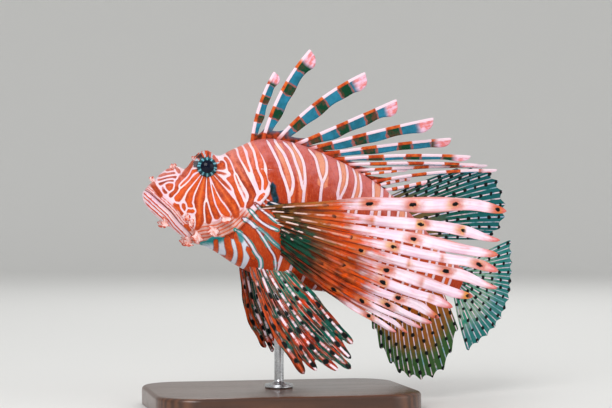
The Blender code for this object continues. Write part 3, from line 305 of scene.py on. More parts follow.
# Strokes by the field that they fill: half width, then the points of the line
STROKES = {
    "wash": (
        (0.95, ((62.4, 1), (65.5, 0.3), (68.5, -0.8), (71.7, -2.7))),
        (0.55, ((71.7, -2.7), (76, -5.6), (79.4, -8.3), (82.2, -10.7), (85.1, -13.2), (88.4, -15.9),
             (91, -20), (93, -25))),
        (0.42, ((68.5, -0.8), (72.3, -1.8), (76, -3.1), (79.9, -4.9), (83.5, -7.1), (87.3, -8.8),
             (90.7, -10.3), (94.9, -12.8))),
        (0.65, ((64.2, 7.5), (68.1, 5.2), (71.1, 3.2), (74.5, 1.7), (78.1, 0.7), (81.5, 0.1), (85.2, 0))),
        (0.55, ((66.9, 11.9), (71.3, 9.7), (74.6, 8.3), (78.3, 6.9), (81.6, 5.4), (85.5, 4.5))),
        (0.7, ((59.7, -6.8), (63.5, -8.4), (66.7, -9.5), (69.8, -11.5), (72.6, -13.5), (75, -15.7),
             (78, -18.2), (80.9, -20.2), (83.2, -24), (84.5, -29))),
    ),
    "breast": (
        (5.6, ((45, -20.5), (53, -19.5), (60, -18), (65, -19.5), (69, -24), (70, -33))),
        (1.5, ((61.4, -9.6), (65, -11.8), (68.4, -14.4), (71.6, -17.6))),
    ),
    "bars": (
        (1.3, ((50.4, -16), (53, -20.5), (55, -25), (57, -31))),
        (2.0, ((56.2, -12), (59.3, -17.5), (62.3, -22), (64, -31))),
        (1.5, ((60.6, -8.5), (62.2, -11.7), (65.4, -15.6), (69, -22), (71, -31))),
        (1.3, ((70.6, -15.4), (73.6, -18.2), (77.8, -21.6))),
    ),
    # The gap behind the gill cover's upper edge and the side fin's axil: partly the axil's own dark skin,
    # partly painted shade
    "dark": (
        (2.1, ((74.4, 27.4), (75.6, 24), (77, 21.2), (78.6, 18.8), (79.8, 16))),
        (2.8, ((74.5, 12.4), (77.9, 13.9), (81.1, 14), (85, 13.7))),
    ),
    "white": (
        (0.45, ((70.6, 18.4), (73.2, 16.6), (76.6, 15.6), (80.4, 15.4), (84.6, 15.6))),
        (0.5, ((69.4, 15.6), (73, 13.4), (77, 12.6), (81, 12.8))),
        (0.35, ((61.6, 33.4), (64.3, 34.1))),
        (0.35, ((65, 33.8), (67.2, 34.3), (69.2, 34.6))),
        (0.3, ((70, 35.2), (71.6, 35.8), (75.6, 36.4))),
    ),
    "teal": (
        (1.5, ((62.6, -8.6), (64.3, -10), (66.5, -13.5))),
        (0.6, ((71.5, -2), (78.8, -4), (85.6, -7.3), (92.2, -11.6))),
    ),
}

# Strokes that narrow only at their very ends
LONG_TAPER = 0.05
LONG_STROKES = {
    "pale": (
        (0.68, ((66, 53.6), (67.7, 51), (70.2, 47.7), (72.8, 44.3), (75.3, 41.1), (77.1, 38), (79.1, 34.7),
             (81.2, 31.8), (85.4, 24.7), (88.7, 16.2))),
        (0.75, ((70.9, 56.1), (71.6, 53.7), (74.2, 50.8), (76.9, 48.5), (78.8, 46.1), (80.5, 43.5),
             (84.7, 36.9), (87, 31.7), (87.5, 26.8), (87.5, 22.4))),
        (0.68, ((76.5, 55.6), (82.2, 50.9), (85.8, 44.6), (89.6, 38.4), (92.3, 32.6), (94.7, 28.2))),
        (0.68, ((82.3, 57.6), (84.1, 54.5), (87.4, 51), (90.7, 46.1), (93, 39.4), (94.5, 33.3), (95.1, 27.6),
             (96.5, 18.6))),
        (0.68, ((93.2, 55.8), (96.2, 53.4), (98.5, 50.7), (101.6, 43.5), (104, 39.1), (105.2, 36.9),
             (105.7, 30.8), (107.2, 21.8))),
        (0.68, ((103.1, 55.9), (104.6, 54.1), (106, 50.8), (106.8, 44.4), (106.1, 39.7), (105.3, 36.9))),
        (0.68, ((113.8, 54.5), (114.7, 51.2), (115.7, 47.8), (116.8, 42.2), (116.6, 37), (116.6, 33.4),
             (117.7, 30.1), (118.2, 25.1))),
        (0.61, ((120, 54.6), (120.4, 51.4), (121.3, 47.3), (121.4, 42.1), (120.6, 36.8), (119.3, 32),
             (118.8, 27.4))),
        (0.61, ((125.3, 52.5), (126.7, 48.9), (127.6, 45.4), (127.7, 41.1), (127.2, 35.1), (126.1, 29.2))),
        (0.61, ((130.1, 50.6), (130.8, 47.1), (131.6, 43.7), (132.1, 39.4), (131.5, 34.9), (130.9, 31))),
        (0.75, ((141.7, 49.5), (140.7, 45.6), (141.1, 41.3), (141.8, 35.6))),
        (0.82, ((148.5, 47.3), (147.8, 43.9), (147.6, 41), (147, 37.1))),
        (0.75, ((155.3, 45.1), (154.2, 42), (153.8, 39))),
        # Guessed where fins hide them: the lines carried on down to the belly, and pairs of lines on the tail
        (0.7, ((88.7, 16.2), (91, 0), (93, -15), (94, -33))),
        (0.7, ((96.5, 18.6), (99, 2), (101, -14), (102, -34))),
        (0.7, ((107.2, 21.8), (109.5, 5), (111, -12), (112, -33))),
        (0.7, ((118.2, 25.1), (120, 8), (121, -10), (122, -32))),
        (0.7, ((126.1, 29.2), (127, 10), (128, -8), (129, -31))),
        (0.7, ((130.9, 31), (132.5, 12), (133, -8), (134, -30))),
        (1.0, ((141.8, 35.6), (143, 15), (144, -5), (145, -28))),
        (1.0, ((147, 37.1), (148.5, 15), (149, -5), (150, -26))),
        (1.0, ((153.8, 39), (156, 15), (157, -5), (158, -25))),
        (0.7, ((162, 43), (161.5, 28), (162.5, 8), (163, -23))),
        (0.7, ((168.5, 40), (168, 25), (169, 8), (169, -21))),
        (0.7, ((179, 35), (178, 22), (178.5, 5), (179, -18))),
        (0.7, ((184.5, 32), (184, 20), (184.5, 5), (185, -16))),
        (0.8, ((193.5, 27), (193, 16), (193.5, 4), (194, -13))),
        (0.8, ((199.5, 24), (199, 14), (199.5, 4), (200, -11))),
        (0.8, ((208.5, 19), (208, 12), (208.5, 3), (209, -9))),
        (0.8, ((214, 17), (213.5, 11), (214, 3), (214.5, -7))),
    ),
    "bar": (
        (2.6, ((72, 54), (77, 46), (82, 38), (86, 29), (89, 18))),
        (3.0, ((80, 55), (85, 49), (90, 40), (93.5, 30), (96, 20), (99, 0), (102, -30))),
        (3.6, ((99, 55), (103, 50), (105, 42), (106, 34))),
        (3.0, ((117, 54), (118.5, 48), (119, 40), (118, 32))),
        (2.4, ((128, 52), (129.5, 46), (129.5, 38), (128.5, 30), (130, 8), (131, -30))),
        (3.0, ((144.5, 49), (144.5, 42), (144.5, 36), (146, 12), (147, -28))),
        (2.6, ((165, 42), (165, 25), (166, 5), (166, -22))),
        (2.4, ((181.5, 34), (181, 20), (181.5, 5), (182, -18))),
        (2.4, ((196.5, 26), (196, 14), (196.5, 4), (197, -12))),
        (2.2, ((211, 18), (211, 10), (211, 3), (212, -8))),
    ),
}


def smooth_curve(x, xs, ys):
    """Values at x on the smooth curve through points: cubic pieces with the mean slopes of the chords."""
    xs, ys = np.asarray(xs, float), np.asarray(ys, float)
    steps = np.diff(ys) / np.diff(xs)
    slopes = np.concatenate([steps[:1], (steps[1:] + steps[:-1]) / 2, steps[-1:]])
    flat = np.concatenate([[False], steps[1:] * steps[:-1] <= 0, [False]])
    slopes = np.where(flat, 0.0, slopes)
    x = np.clip(x, xs[0], xs[-1])
    k = np.clip(np.searchsorted(xs, x, side="right") - 1, 0, len(xs) - 2)
    span = xs[k + 1] - xs[k]
    t = (x - xs[k]) / span
    return (
        ys[k] * (2 * t**3 - 3 * t**2 + 1)
        + slopes[k] * span * (t**3 - 2 * t**2 + t)
        + ys[k + 1] * (3 * t**2 - 2 * t**3)
        + slopes[k + 1] * span * (t**3 - t**2)
    )


def smooth_step(x, low, high):
    """0 below low, 1 above high, and 3t^2 - 2t^3 between."""
    t = np.clip((x - low) / (high - low), 0.0, 1.0)
    return t * t * (3.0 - 2.0 * t)


def bell(distance, width):
    """1 at distance 0, falling as exp(-(distance / width)^2)."""
    return np.exp(-((distance / width) ** 2))


def mound(along, up, centre, size):
    """A smooth hill of height 1 on the side of the fish, with a centre and two half widths."""
    return np.exp(-(((along - centre[0]) / size[0]) ** 2) - ((up - centre[1]) / size[1]) ** 2)


def walked_along(line):
    """How far a line is walked at each of its points."""
    steps = np.linalg.norm(np.diff(line, axis=-2), axis=-1)
    return np.concatenate([np.zeros_like(steps[..., :1]), np.cumsum(steps, axis=-1)], axis=-1)


def line_distance(along, up, line):
    """Distance from points on the side of the fish to a bent line, and the share of the line walked there."""
    best, walked = np.full(np.shape(along), 1e9), np.zeros(np.shape(along))
    line = np.asarray(line, float)
    marks = walked_along(line)
    for (a0, u0), (a1, u1), low, high in zip(line[:-1], line[1:], marks[:-1], marks[1:]):
        length = (a1 - a0) ** 2 + (u1 - u0) ** 2
        t = np.clip(((along - a0) * (a1 - a0) + (up - u0) * (u1 - u0)) / length, 0.0, 1.0)
        distance = np.hypot(along - a0 - t * (a1 - a0), up - u0 - t * (u1 - u0))
        nearer = distance < best
        best = np.where(nearer, distance, best)
        walked = np.where(nearer, (low + t * (high - low)) / marks[-1], walked)
    return best, walked


def rounded_line(line, steps=4):
    """The smooth curve through a bent line's corners, as a line with more points."""
    line = np.asarray(line, float)
    t = np.linspace(0, len(line) - 1, (len(line) - 1) * steps + 1)
    return np.stack([smooth_curve(t, np.arange(len(line)), column) for column in line.T], axis=1)


def near_line(along, up, line, reach):
    """Which points lie near a line's box, and the distance and share walked of those points."""
    low, high = line.min(axis=0) - reach, line.max(axis=0) + reach
    near = (along > low[0]) & (along < high[0]) & (up > low[1]) & (up < high[1])
    return near, *line_distance(along[near], up[near], line)


def ink(along, up, strokes, taper=0.12, reach=5.0):
    """How far points lie inside strokes: half width, less towards both ends, minus distance to the line."""
    best = np.full(along.shape, -reach)
    for half, line in strokes:
        near, distance, walked = near_line(along, up, rounded_line(line), reach)
        ends = np.minimum(walked, 1 - walked)
        best[near] = np.maximum(best[near], half * (0.35 + 0.65 * smooth_step(ends, 0.0, taper)) - distance)
    return best


def stripes(along, up, lines, spread=1.1, gap=0.46, reach=7.0):
    """Stripes that fill the room between drawn lines: each point belongs to the line that it lies deepest in,
    by half width less distance, and the field is the least of that depth plus spread and half its lead over
    the next line's depth less half a gap. Both are less at the back of the head, which is paler. Gives the
    field, tone and depth."""
    first, second = np.full(along.shape, -reach), np.full(along.shape, -reach)
    rear = smooth_step(along, 50.0, 58.0) * smooth_step(up, 6.0, 16.0)
    tone = np.zeros(along.shape)
    for shade, line in lines:
        line = rounded_line(line)
        near, distance, walked = near_line(along, up, line[:, :2], reach)
        marks = walked_along(line[:, :2])
        depth = np.interp(walked, marks / marks[-1], line[:, 2]) - distance
        best, other = first[near], second[near]
        deeper = depth > best
        second[near] = np.where(deeper, best, np.maximum(other, depth))
        tone[near] = np.where(deeper, shade, tone[near])
        first[near] = np.where(deeper, depth, best)
    return np.minimum(first + spread - 0.45 * rear, (first - second) / 2 - gap - 0.26 * rear), tone, first


def body_section(along):
    """Back, belly, half width and height of the widest point of the body at a place along it."""
    stations = np.array(BODY_STATIONS)
    return [smooth_curve(along, stations[:, 0], stations[:, k]) for k in (1, 2, 3, 4)]


def side_of_body(along, up):
    """How far out the plain body reaches: half width times the square root of 1 - share^2."""
    back, belly, half, widest = body_section(along)
    reach = np.where(up > widest, back - widest, widest - belly)
    share = np.clip((up - widest) / np.maximum(reach, 0.01), -1.0, 1.0)
    return half * np.sqrt(1.0 - share**2)


def ahead_of(up, along, line):
    """How far ahead of a line that climbs steadily a point lies, below 0 behind it."""
    line = np.array(line, float)
    side = np.sign(np.interp(up, line[:, 1], line[:, 0]) - along)
    return side * line_distance(along, up, line)[0]


def below_mouth(along, up):
    """How far under the mouth line a point lies, below 0 over it or behind its end."""
    line = np.array(MOUTH_LINE, float)
    under = (up < np.interp(along, line[:, 0], line[:, 1])) & (along < line[-1, 0])
    return np.where(under, 1.0, -1.0) * line_distance(along, up, line)[0]


def head_relief(along, up):
    """Bones and swellings of the head: bells about lines and places on its side."""
    orbit = np.hypot(along - EYE_ALONG, up - EYE_UP)
    return (
        2.3 * bell(orbit - EYE_RADIUS, 3.2)
        + 1.5 * bell(line_distance(along, up, UPPER_JAW)[0], 2.8)
        + 0.9 * bell(line_distance(along, up, CHEEK_BONE)[0], 3.0)
        + 1.0 * bell(line_distance(along, up, PREOPERCLE)[0], 2.4)
        + 1.2 * mound(along, up, (12.0, 14.5), (5.0, 4.5))
        - 1.2 * mound(along, up, (21.5, 17.5), (3.6, 4.5))
    )


def brow_crest(points):
    """The bony crest over each eye: a bell in all three directions."""
    along, up, out = points[..., 0], points[..., 1], np.abs(points[..., 2])
    places = zip((along, up, out), CREST, CREST_SIZE)
    return CREST_HEIGHT * np.exp(-sum(((at - centre) / size) ** 2 for at, centre, size in places))


def mouth_share(along):
    """1 where the mouth is cut in, falling to 0 at its corner."""
    return smooth_step(along, MOUTH_END, MOUTH_END - MOUTH_FADE)


def body_relief(along, up):
    """All that stands off the plain body: bones, lips, nostrils, gill cover, breast and side fin's base."""
    mouth = below_mouth(along, up)
    gill = ahead_of(up, along, GILL_EDGE)
    edge, _ = line_distance(along, up, GILL_EDGE[1:-3])
    lower = smooth_step(mouth, -0.2, 0.5)
    lips = lower * (0.9 * bell(mouth - 1.8, 1.5) + 0.6 * bell(mouth - 5.2, 1.6))
    lips = lips + 0.5 * bell(mouth + 1.3, 0.8)
    slit = -1.7 * bell(mouth, 0.55) * mouth_share(along)
    cover = smooth_step(gill, -0.7, 0.5)
    low_nape = smooth_step(up, 36.0, 27.0)
    raised = 1.5 * bell(edge, 6.0) * low_nape
    groove = -0.7 * bell(gill + 1.2, 0.9) * low_nape
    trunk = 1.7 * mound(along, up, (84.0, -1.0), (9.0, 13.0))
    trunk = trunk + 0.8 * mound(along, up, (66.0, -19.0), (12.0, 6.0))
    nostril = np.hypot(along - NOSTRIL[0], up - NOSTRIL[1])
    nose = 0.5 * bell(nostril - 1.3, 0.5) - 1.2 * bell(nostril, 0.7)
    folds = 0.25 * np.sin(mouth * 2.4) * bell(mouth - 6.0, 3.5)
    return head_relief(along, up) + lips + slit + cover * raised + (1 - cover) * trunk + groove + nose + folds


def grid_normals(points):
    """Outward normals of rings that close round the body: the step round crossed with the step along."""
    round_step = np.roll(points, -1, axis=1) - np.roll(points, 1, axis=1)
    along_step = np.gradient(points, axis=0)
    normals = np.cross(round_step, along_step)
    normals = normals / np.maximum(np.linalg.norm(normals, axis=-1, keepdims=True), 1e-9)
    normals[0], normals[-1] = (-1.0, 0.0, 0.0), (1.0, 0.0, 0.0)
    return normals


def set_eyes(points, lid):
    """Opens the sockets and wraps the lids: near an eye, a point's distance from its centre is drawn under
    the ball inside the lid's angle, and is at least the lid's radius outside it."""
    for side in (1.0, -1.0):
        centre = np.array([EYE_ALONG, EYE_UP, side * EYE_OUT])
        from_eye = points - centre
        distance = np.linalg.norm(from_eye, axis=-1)
        axis = np.array(EYE_AXIS) * (1.0, 1.0, side)
        cosine = (from_eye @ axis) / np.maximum(distance, 1e-6) / np.linalg.norm(axis)
        angle = np.degrees(np.arccos(np.clip(cosine, -1, 1)))
        closed = smooth_step(angle, lid - 3.0, lid + 2.5)
        rim = EYE_RADIUS + LID_THICK + 0.35 * bell(angle - lid - 6.0, 5.0)
        socket = np.minimum(distance, EYE_RADIUS - SOCKET_DEEP)
        target = (1 - closed) * socket + closed * np.maximum(distance, rim)
        near = (points[..., 2] * side > 1.0) & (angle < LID_REACH)
        moved = np.where(distance < rim, smooth_step(angle, LID_REACH, 100.0), smooth_step(angle, 72, 68))
        scale = 1 + (target / np.maximum(distance, 1e-6) - 1) * moved
        points = np.where(near[..., None], centre + from_eye * scale[..., None], points)
    return points


def bend_table():
    """Places and headings of the body's axis from above. The heading is a power of the share walked."""
    along = np.linspace(-20.0, 1.6 * STANDARD_LENGTH, BEND_STEPS)
    share = np.clip((along - BEND_START) / (BEND_END - BEND_START), 0.0, 1.0)
    heading = BEND_ANGLE * share**BEND_POWER
    step = along[1] - along[0]
    middle = (heading[1:] + heading[:-1]) / 2
    forward = np.concatenate([[0.0], np.cumsum(np.cos(middle)) * step]) + along[0]
    aside = np.concatenate([[0.0], np.cumsum(np.sin(middle)) * step])
    return along, heading, forward, aside


def posed(points, bent=True):
    """Fish frame to world, in metres: bend the tail, tip the nose up, and set the snout over the stand."""
    along, up, out = points[:, 0], points[:, 1], points[:, 2]
    if bent:
        table, heading, forward, aside = bend_table()
        turn = np.interp(along, table, heading)
        x = np.interp(along, table, forward) + out * np.sin(turn)
        y = np.interp(along, table, aside) - out * np.cos(turn)
    else:
        x, y = along, -out
    return MM * np.stack([
        x * math.cos(NOSE_UP) + up * math.sin(NOSE_UP) - SNOUT_AHEAD,
        y,
        -x * math.sin(NOSE_UP) + up * math.cos(NOSE_UP) + SNOUT_HEIGHT,
    ], axis=1)


def add_piece(name, points, faces, finish, nodes=(), fields=None):
    """Puts points in metres and arrays of three- and four-cornered faces into a mesh that rides on root."""
    mesh = bpy.data.meshes.new(name)
    corners = np.concatenate([np.ravel(f) for f in faces]).astype(np.int32)
    sizes = np.concatenate([np.full(len(f), f.shape[1]) for f in faces])
    mesh.vertices.add(len(points))
    mesh.vertices.foreach_set("co", np.ascontiguousarray(points, np.float32).ravel())
    mesh.loops.add(len(corners))
    mesh.loops.foreach_set("vertex_index", corners)
    mesh.polygons.add(len(sizes))
    mesh.polygons.foreach_set("loop_start", (np.cumsum(sizes) - sizes).astype(np.int32))
    mesh.update(calc_edges=True)
    for key, values in (fields or {}).items():
        layer = mesh.attributes.new(key, "FLOAT", "POINT")
        layer.data.foreach_set("value", np.ascontiguousarray(values, np.float32).ravel())
    mesh.shade_smooth()
    if mesh.validate():
        raise RuntimeError(f"{name} has faces that Blender had to repair")
    mesh.materials.append(finish)
    obj = bpy.data.objects.new(name, mesh)
    bpy.context.scene.collection.objects.link(obj)
    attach(obj, BODY)
    if nodes:
        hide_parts(*nodes)


def drawn_in(grid):
    """A ring grid's points in a row, its first and last ring drawn together to one point each."""
    middle = grid[1:-1].reshape(-1, grid.shape[-1])
    return np.concatenate([grid[0].mean(axis=0)[None], middle, grid[-1].mean(axis=0)[None]])


def tube(grid, fields=None):
    """Points, faces and fields of rings that close round, the first and the last ring as one point each."""
    rings, sides = grid.shape[0] - 2, grid.shape[1]
    index = 1 + np.arange(rings * sides).reshape(rings, sides)
    after = np.roll(index, -1, axis=1)
    quads = np.stack([index[:-1], after[:-1], after[1:], index[1:]], axis=-1).reshape(-1, 4)
    start = np.stack([np.zeros(sides, int), after[0], index[0]], axis=-1)
    end = np.stack([index[-1], after[-1], np.full(sides, 1 + rings * sides)], axis=-1)
    fields = {name: drawn_in(values[..., None])[:, 0] for name, values in (fields or {}).items()}
    return drawn_in(grid), [quads, start, end], fields


def turned_over(faces):
    """Faces that look the other way."""
    return [corners[:, ::-1] for corners in faces]


def round_turn(sides):
    """Angles of so many points round a ring."""
    return (np.arange(sides) * 2 * math.pi / sides)[None, :]


def upright_rings(radius, height, sides):
    """Rings round an upright axis."""
    turn, radius, height = round_turn(sides), np.asarray(radius)[:, None], np.asarray(height)[:, None]
    return np.stack([radius * np.cos(turn), radius * np.sin(turn), height + 0 * turn], axis=-1)


def join_parts(parts):
    """One set of points, faces and fields out of several (points, faces, fields)."""
    points, faces, fields, start = [], [], {}, 0
    for p, f, values in parts:
        points.append(p)
        faces += [np.asarray(k) + start for k in f]
        for key, v in values.items():
            fields.setdefault(key, []).append(v)
        start += len(p)
    return np.concatenate(points), faces, {key: np.concatenate(v) for key, v in fields.items()}


def spread(keys, count):
    """Count rays of a fan, on smooth curves through its key rays (place from 0 to 1, then points)."""
    places = [key[0] for key in keys]
    shape = np.array([key[1:] for key in keys], float)
    share = np.linspace(0.0, 1.0, count)
    rays = [smooth_curve(share, places, column) for column in shape.reshape(len(keys), -1).T]
    return np.array(rays).T.reshape((count,) + shape.shape[1:])


def ray_points(rays, rows, sink):
    """Places along each ray, from below its root, on the parabola through its root, middle and tip."""
    root, middle, tip = (rays[:, k, None, :] for k in range(3))
    first = np.linalg.norm(middle - root, axis=-1, keepdims=True)
    turn = first / (first + np.linalg.norm(tip - middle, axis=-1, keepdims=True))
    t = np.linspace(0.0, 1.0, rows + 1)[None, :, None]
    points = (
        root * (t - turn) * (t - 1) / turn
        + middle * t * (t - 1) / (turn * (turn - 1))
        + tip * t * (t - turn) / (1 - turn)
    )
    start = points[:, 1:2] - points[:, :1]
    start /= np.linalg.norm(start, axis=-1, keepdims=True)
    return np.concatenate([points[:, :1] - start * sink, points], axis=1)


def fan(rays, rows, web, widths, ridge, ridge_width, skin, strands, strips, notch, normal=None, bent=True,
        sway=None):
    """A fin as one closed thin sheet. Each ray is a curve with a ribbon of skin whose half thickness is skin,
    swelling to ridge as a bell about the ray. Between rays a web runs from ribbon to ribbon up to a share of
    their length, its free edge drawn in by notch. Sway shifts the rays across and out of the fin, and cups
    their ribbons. Gives points in metres, faces and fields: distance from the ray, distance before or behind
    it, distance walked along it, share of its length, number of the ray, and place among the rays."""
    centre = ray_points(np.asarray(rays, float), rows, ROOT_SINK)
    count, steps = centre.shape[:2]
    share = np.concatenate([[-0.02], np.linspace(0.0, 1.0, rows + 1)])
    shown = np.clip(share, 0, 1)
    walked = walked_along(centre)
    along = np.gradient(centre, axis=1)
    along /= np.linalg.norm(along, axis=-1, keepdims=True)
    if normal is None:
        face = np.cumsum(np.cross(along, np.gradient(centre, axis=0)), axis=1)
    else:
        face = np.array(normal, float) - along * (along @ np.array(normal, float))[..., None]
    face /= np.linalg.norm(face, axis=-1, keepdims=True)
    across = np.cross(face, along)
    numbers = np.arange(count)[:, None]
    before, behind = widths(numbers, shown[None, :])
    cup = np.zeros((count, steps))
    if sway:
        sideways, outward, cup = sway(numbers, shown[None, :])
        centre = centre + across * sideways[..., None] + face * outward[..., None]
    if normal is None:
        room = np.full((count + 1, steps), 1e3)
        room[1:-1] = np.abs(((centre[1:] - centre[:-1]) * across[1:]).sum(axis=-1))
        before = np.minimum(before, 0.42 * room[:-1])
        behind = np.minimum(behind, 0.42 * room[1:])
    side = np.linspace(-1.0, 1.0, 2 * strands + 1)[:, None]
    reach = np.where(side < 0, side * before[:, None, :], side * behind[:, None, :])
    thick = np.broadcast_to(ridge * (1.0 - 0.62 * shown), (count, steps))[:, None, :]
    half = skin * (1 - 0.6 * side**4) + np.maximum(thick - skin, 0) * bell(reach, ridge_width)
    cupped = (cup[:, None] * side**2)[..., None]
    places = centre[:, None] + across[:, None] * reach[..., None] + face[:, None] * cupped
    number = numbers[..., None]
    web_rows = np.array([int(round(w * rows)) + 1 for w in np.broadcast_to(web, count - 1)])
    ends, row = web_rows[:, None, None], np.arange(steps)
    f = np.linspace(0.0, 1.0, strips + 2)[1:-1][:, None]
    edge, following = places[:-1, -1][:, None], places[1:, 0][:, None]
    gap = np.linalg.norm(following - edge, axis=-1)
    joined = edge * (1 - f[..., None]) + following * f[..., None]
    between = face[:-1] + face[1:]
    between /= np.linalg.norm(between, axis=-1, keepdims=True)
    drawn = notch * ends * 4 * f * (1 - f)
    at = np.clip(row - drawn * np.clip(row / ends, 0, 1) ** 4, 0, steps - 1)
    low = np.clip(np.floor(at).astype(int), 0, steps - 2)[..., None]
    rest = at[..., None] - low
    joined = np.take_along_axis(joined, low, 2) * (1 - rest) + np.take_along_axis(joined, low + 1, 2) * rest
    pitch = (behind[:-1] + before[1:])[:, None] + gap
    wide = np.concatenate([pitch[:1], pitch, pitch[-1:]])

    def weave(ribbons, webs):
        """Ribbons and webs in turn, from the first ribbon to the last."""
        both = np.concatenate([ribbons, np.concatenate([webs, webs[-1:]])], axis=1)
        return both.reshape(-1, *both.shape[2:])[:-strips]

    past, left = behind[:-1, None] + f * gap, before[1:, None] + (1 - f) * gap
    walks = walked[:-1, None] * (1 - f) + walked[1:, None] * f
    fields = {
        "offset": (np.abs(reach), np.where(f < 0.5, past, left)),
        "lead": (reach, WEB_LEAD),
        "walk": (walked[:, None], walks * at / np.maximum(row, 1)),
        "share": (share, share),
        "ray": (number, number[:-1] + f),
        "place": (number + reach / np.where(side < 0, wide[:-1], wide[1:]), number[:-1] + past / pitch),
    }
    fields = {name: weave(np.broadcast_to(ribbons, reach.shape), np.broadcast_to(webs, at.shape))
              for name, (ribbons, webs) in fields.items()}
    normals = weave(np.repeat(face[:, None], 2 * strands + 1, 1), np.repeat(between[:, None], strips, 1))
    sides = normals * weave(half, half[:-1, -1:] * (1 - f) + half[1:, :1] * f)[..., None]
    places = weave(places, joined)
    limits = np.concatenate([np.full((count, 2 * strands), steps - 1),
                             np.repeat(np.append(web_rows, 0)[:, None], strips + 1, 1)], axis=1)
    cell = np.arange(steps - 1) < limits.reshape(-1, 1)[:-strips - 1]
    inside = np.pad(cell, 1)
    corner = inside[:-1, :-1] | inside[1:, :-1] | inside[:-1, 1:] | inside[1:, 1:]
    index = np.cumsum(corner.ravel()).reshape(corner.shape) - 1
    total = int(corner.sum())
    j, k = np.nonzero(cell)
    a, b, c, d = index[j, k], index[j + 1, k], index[j + 1, k + 1], index[j, k + 1]
    faces = [np.stack([a, d, c, b], -1), np.stack([a, b, c, d], -1) + total]
    for rim, p, q in (
        (~inside[j, k + 1], d, a),
        (~inside[j + 2, k + 1], b, c),
        (~inside[j + 1, k], a, b),
        (~inside[j + 1, k + 2], c, d),
    ):
        p, q = p[rim], q[rim]
        faces.append(np.stack([p, q, q + total, p + total], -1))
    points = np.concatenate([(places + sides)[corner], (places - sides)[corner]])
    return posed(points, bent), faces, {key: np.tile(values[corner], 2) for key, values in fields.items()}


def add_fin(name, node, finish, made):
    """Puts a fan into the scene as the piece that replaces a fin's node."""
    points, faces, fields = made
    add_piece(name, points, faces, finish, [node], fields)


def ribbon(before, behind, widest, foot, tip, start, stiff_front=False, lobe=0.0, waver=0.0):
    """Reach of the skin before and behind a ray: narrow at its foot, full further out, round at its tip."""
    def reach(number, share):
        swell = foot + (1 - foot) * smooth_step(share, 0.0, widest)
        t = np.clip((share - start) / (1 - start), 0, 1)
        close = tip + (1 - tip) * np.sqrt(1 - t**2)
        swell = swell * close * (1 + lobe * bell(share - 0.9, 0.06))
        swell = swell * (1 + waver * np.sin(share * 21 + number * 2.3))
        first, second = (np.take(np.atleast_1d(width), number, mode="clip") for width in (before, behind))
        return first * ((1.0 - 0.5 * share) * close**0.3 if stiff_front else swell), second * swell
    return reach


def swaying(start, level_from, wave, lift, cup, hook=0.0):
    """How rays sway: sideways and outward by sines of share and number that grow from a start, and how far
    their ribbons cup. The outward sway and the cup die away at the tips, and a hook bends the tips sideways.
    A sine is given by its turn along the ray, its turn from ray to ray and its height."""
    def sway(number, share):
        loose, level = smooth_step(share, start, 0.9), smooth_step(share, 1.0, level_from)
        bend = np.sin(share * wave[0] + number * wave[1])
        rise = np.sin(share * lift[0] + number * lift[1])
        hooked = smooth_step(share, 0.84, 1.0) * (1.0 + 0.6 * np.sin(number * 2.1)) * hook
        return loose * bend * wave[2] + hooked, loose * level * rise * lift[2], level * bend * cup
    return sway


def back_at(along, deep=0.0):
    """A point on the back, sunk a little."""
    return (along, float(body_section(along)[0]) - deep, 0.0)


def belly_at(along, deep=0.0):
    """A point on the belly, sunk a little."""
    return (along, float(body_section(along)[1]) + deep, 0.0)


def with_middle(root, tip, bow):
    """Root, middle and tip of a ray in the fish's middle plane, bowed forward."""
    root, tip = np.array(root, float), np.array(tip + (0.0,))
    middle = (root + tip) / 2
    step = tip[:2] - root[:2]
    middle[:2] += np.array([-step[1], step[0]]) / np.hypot(*step) * bow
    return root, middle, tip


def far_side(keys):
    """Key rays carried over to the right side, but for their roots drawn to a level and spread further."""
    shape = np.array([key[1:] for key in keys])
    shape[:, 1:, 1] = FAR_LEVEL + (shape[:, 1:, 1] - FAR_LEVEL) * FAR_SQUEEZE
    shape[:, 1:, 2] *= FAR_SPREAD
    shape[..., 2] *= -1
    return [(key[0], *ray) for key, ray in zip(keys, shape)]


def leaf(root, direction, length, width):
    """A skin flap: ellipses along a drooping line, their width growing to 0.6 of the way, frilled by a sine
    and closing in a round tip."""
    rings, sides = FLAP_GRID
    along = direction * (length + FLAP_SINK)
    root = root - direction * FLAP_SINK
    across = np.cross(FLAP_FACING, along)
    across /= np.linalg.norm(across)
    out = np.cross(along, across)
    out /= np.linalg.norm(out)
    t = np.linspace(0.0, 1.0, rings)[:, None, None]
    angle = round_turn(sides)[..., None]
    close = np.sqrt(np.clip(1 - (np.clip(t - 0.55, 0, 1) / 0.45) ** 2, 0, 1))
    frill = 1 + 0.28 * np.sin(19.0 * t + 2.0 * np.cos(angle) + root[0]) * smooth_step(t, 0.15, 0.5)
    wide = (0.6 + 0.55 * smooth_step(t, 0.0, 0.6)) * close * frill * width / 2
    deep = FLAP_THICK / 2 * (1 - 0.55 * t) * close
    droop = np.array([0.0, -FLAP_DROOP * length, 0.0]) * t**2
    line = root + along * t + droop + across * 0.4 * np.sin(5.0 * t + root[0])
    ripple = 0.19 * width * np.cos(angle) * np.sin(9.0 * t + root[0]) * smooth_step(t, 0.0, 0.5)
    grid = line + across * np.cos(angle) * wide - out * (np.sin(angle) * deep + ripple * close)
    fields = {"share": t[..., 0], "rim": np.abs(np.cos(angle[..., 0]))}
    return tube(grid, {name: np.broadcast_to(values, (rings, sides)) for name, values in fields.items()})


def skin_point(along, up):
    """A point on the left side of the finished skin."""
    return np.array([along, up, side_of_body(along, up) + body_relief(np.array(along), np.array(up))])


def tint(red, green, blue):
    """A screen colour, each part from 0 to 255, as the linear colour that shaders take."""
    parts = [part / 255 for part in (red, green, blue)]
    return tuple(((part + 0.055) / 1.055) ** 2.4 if part > 0.04 else part / 12.92 for part in parts)


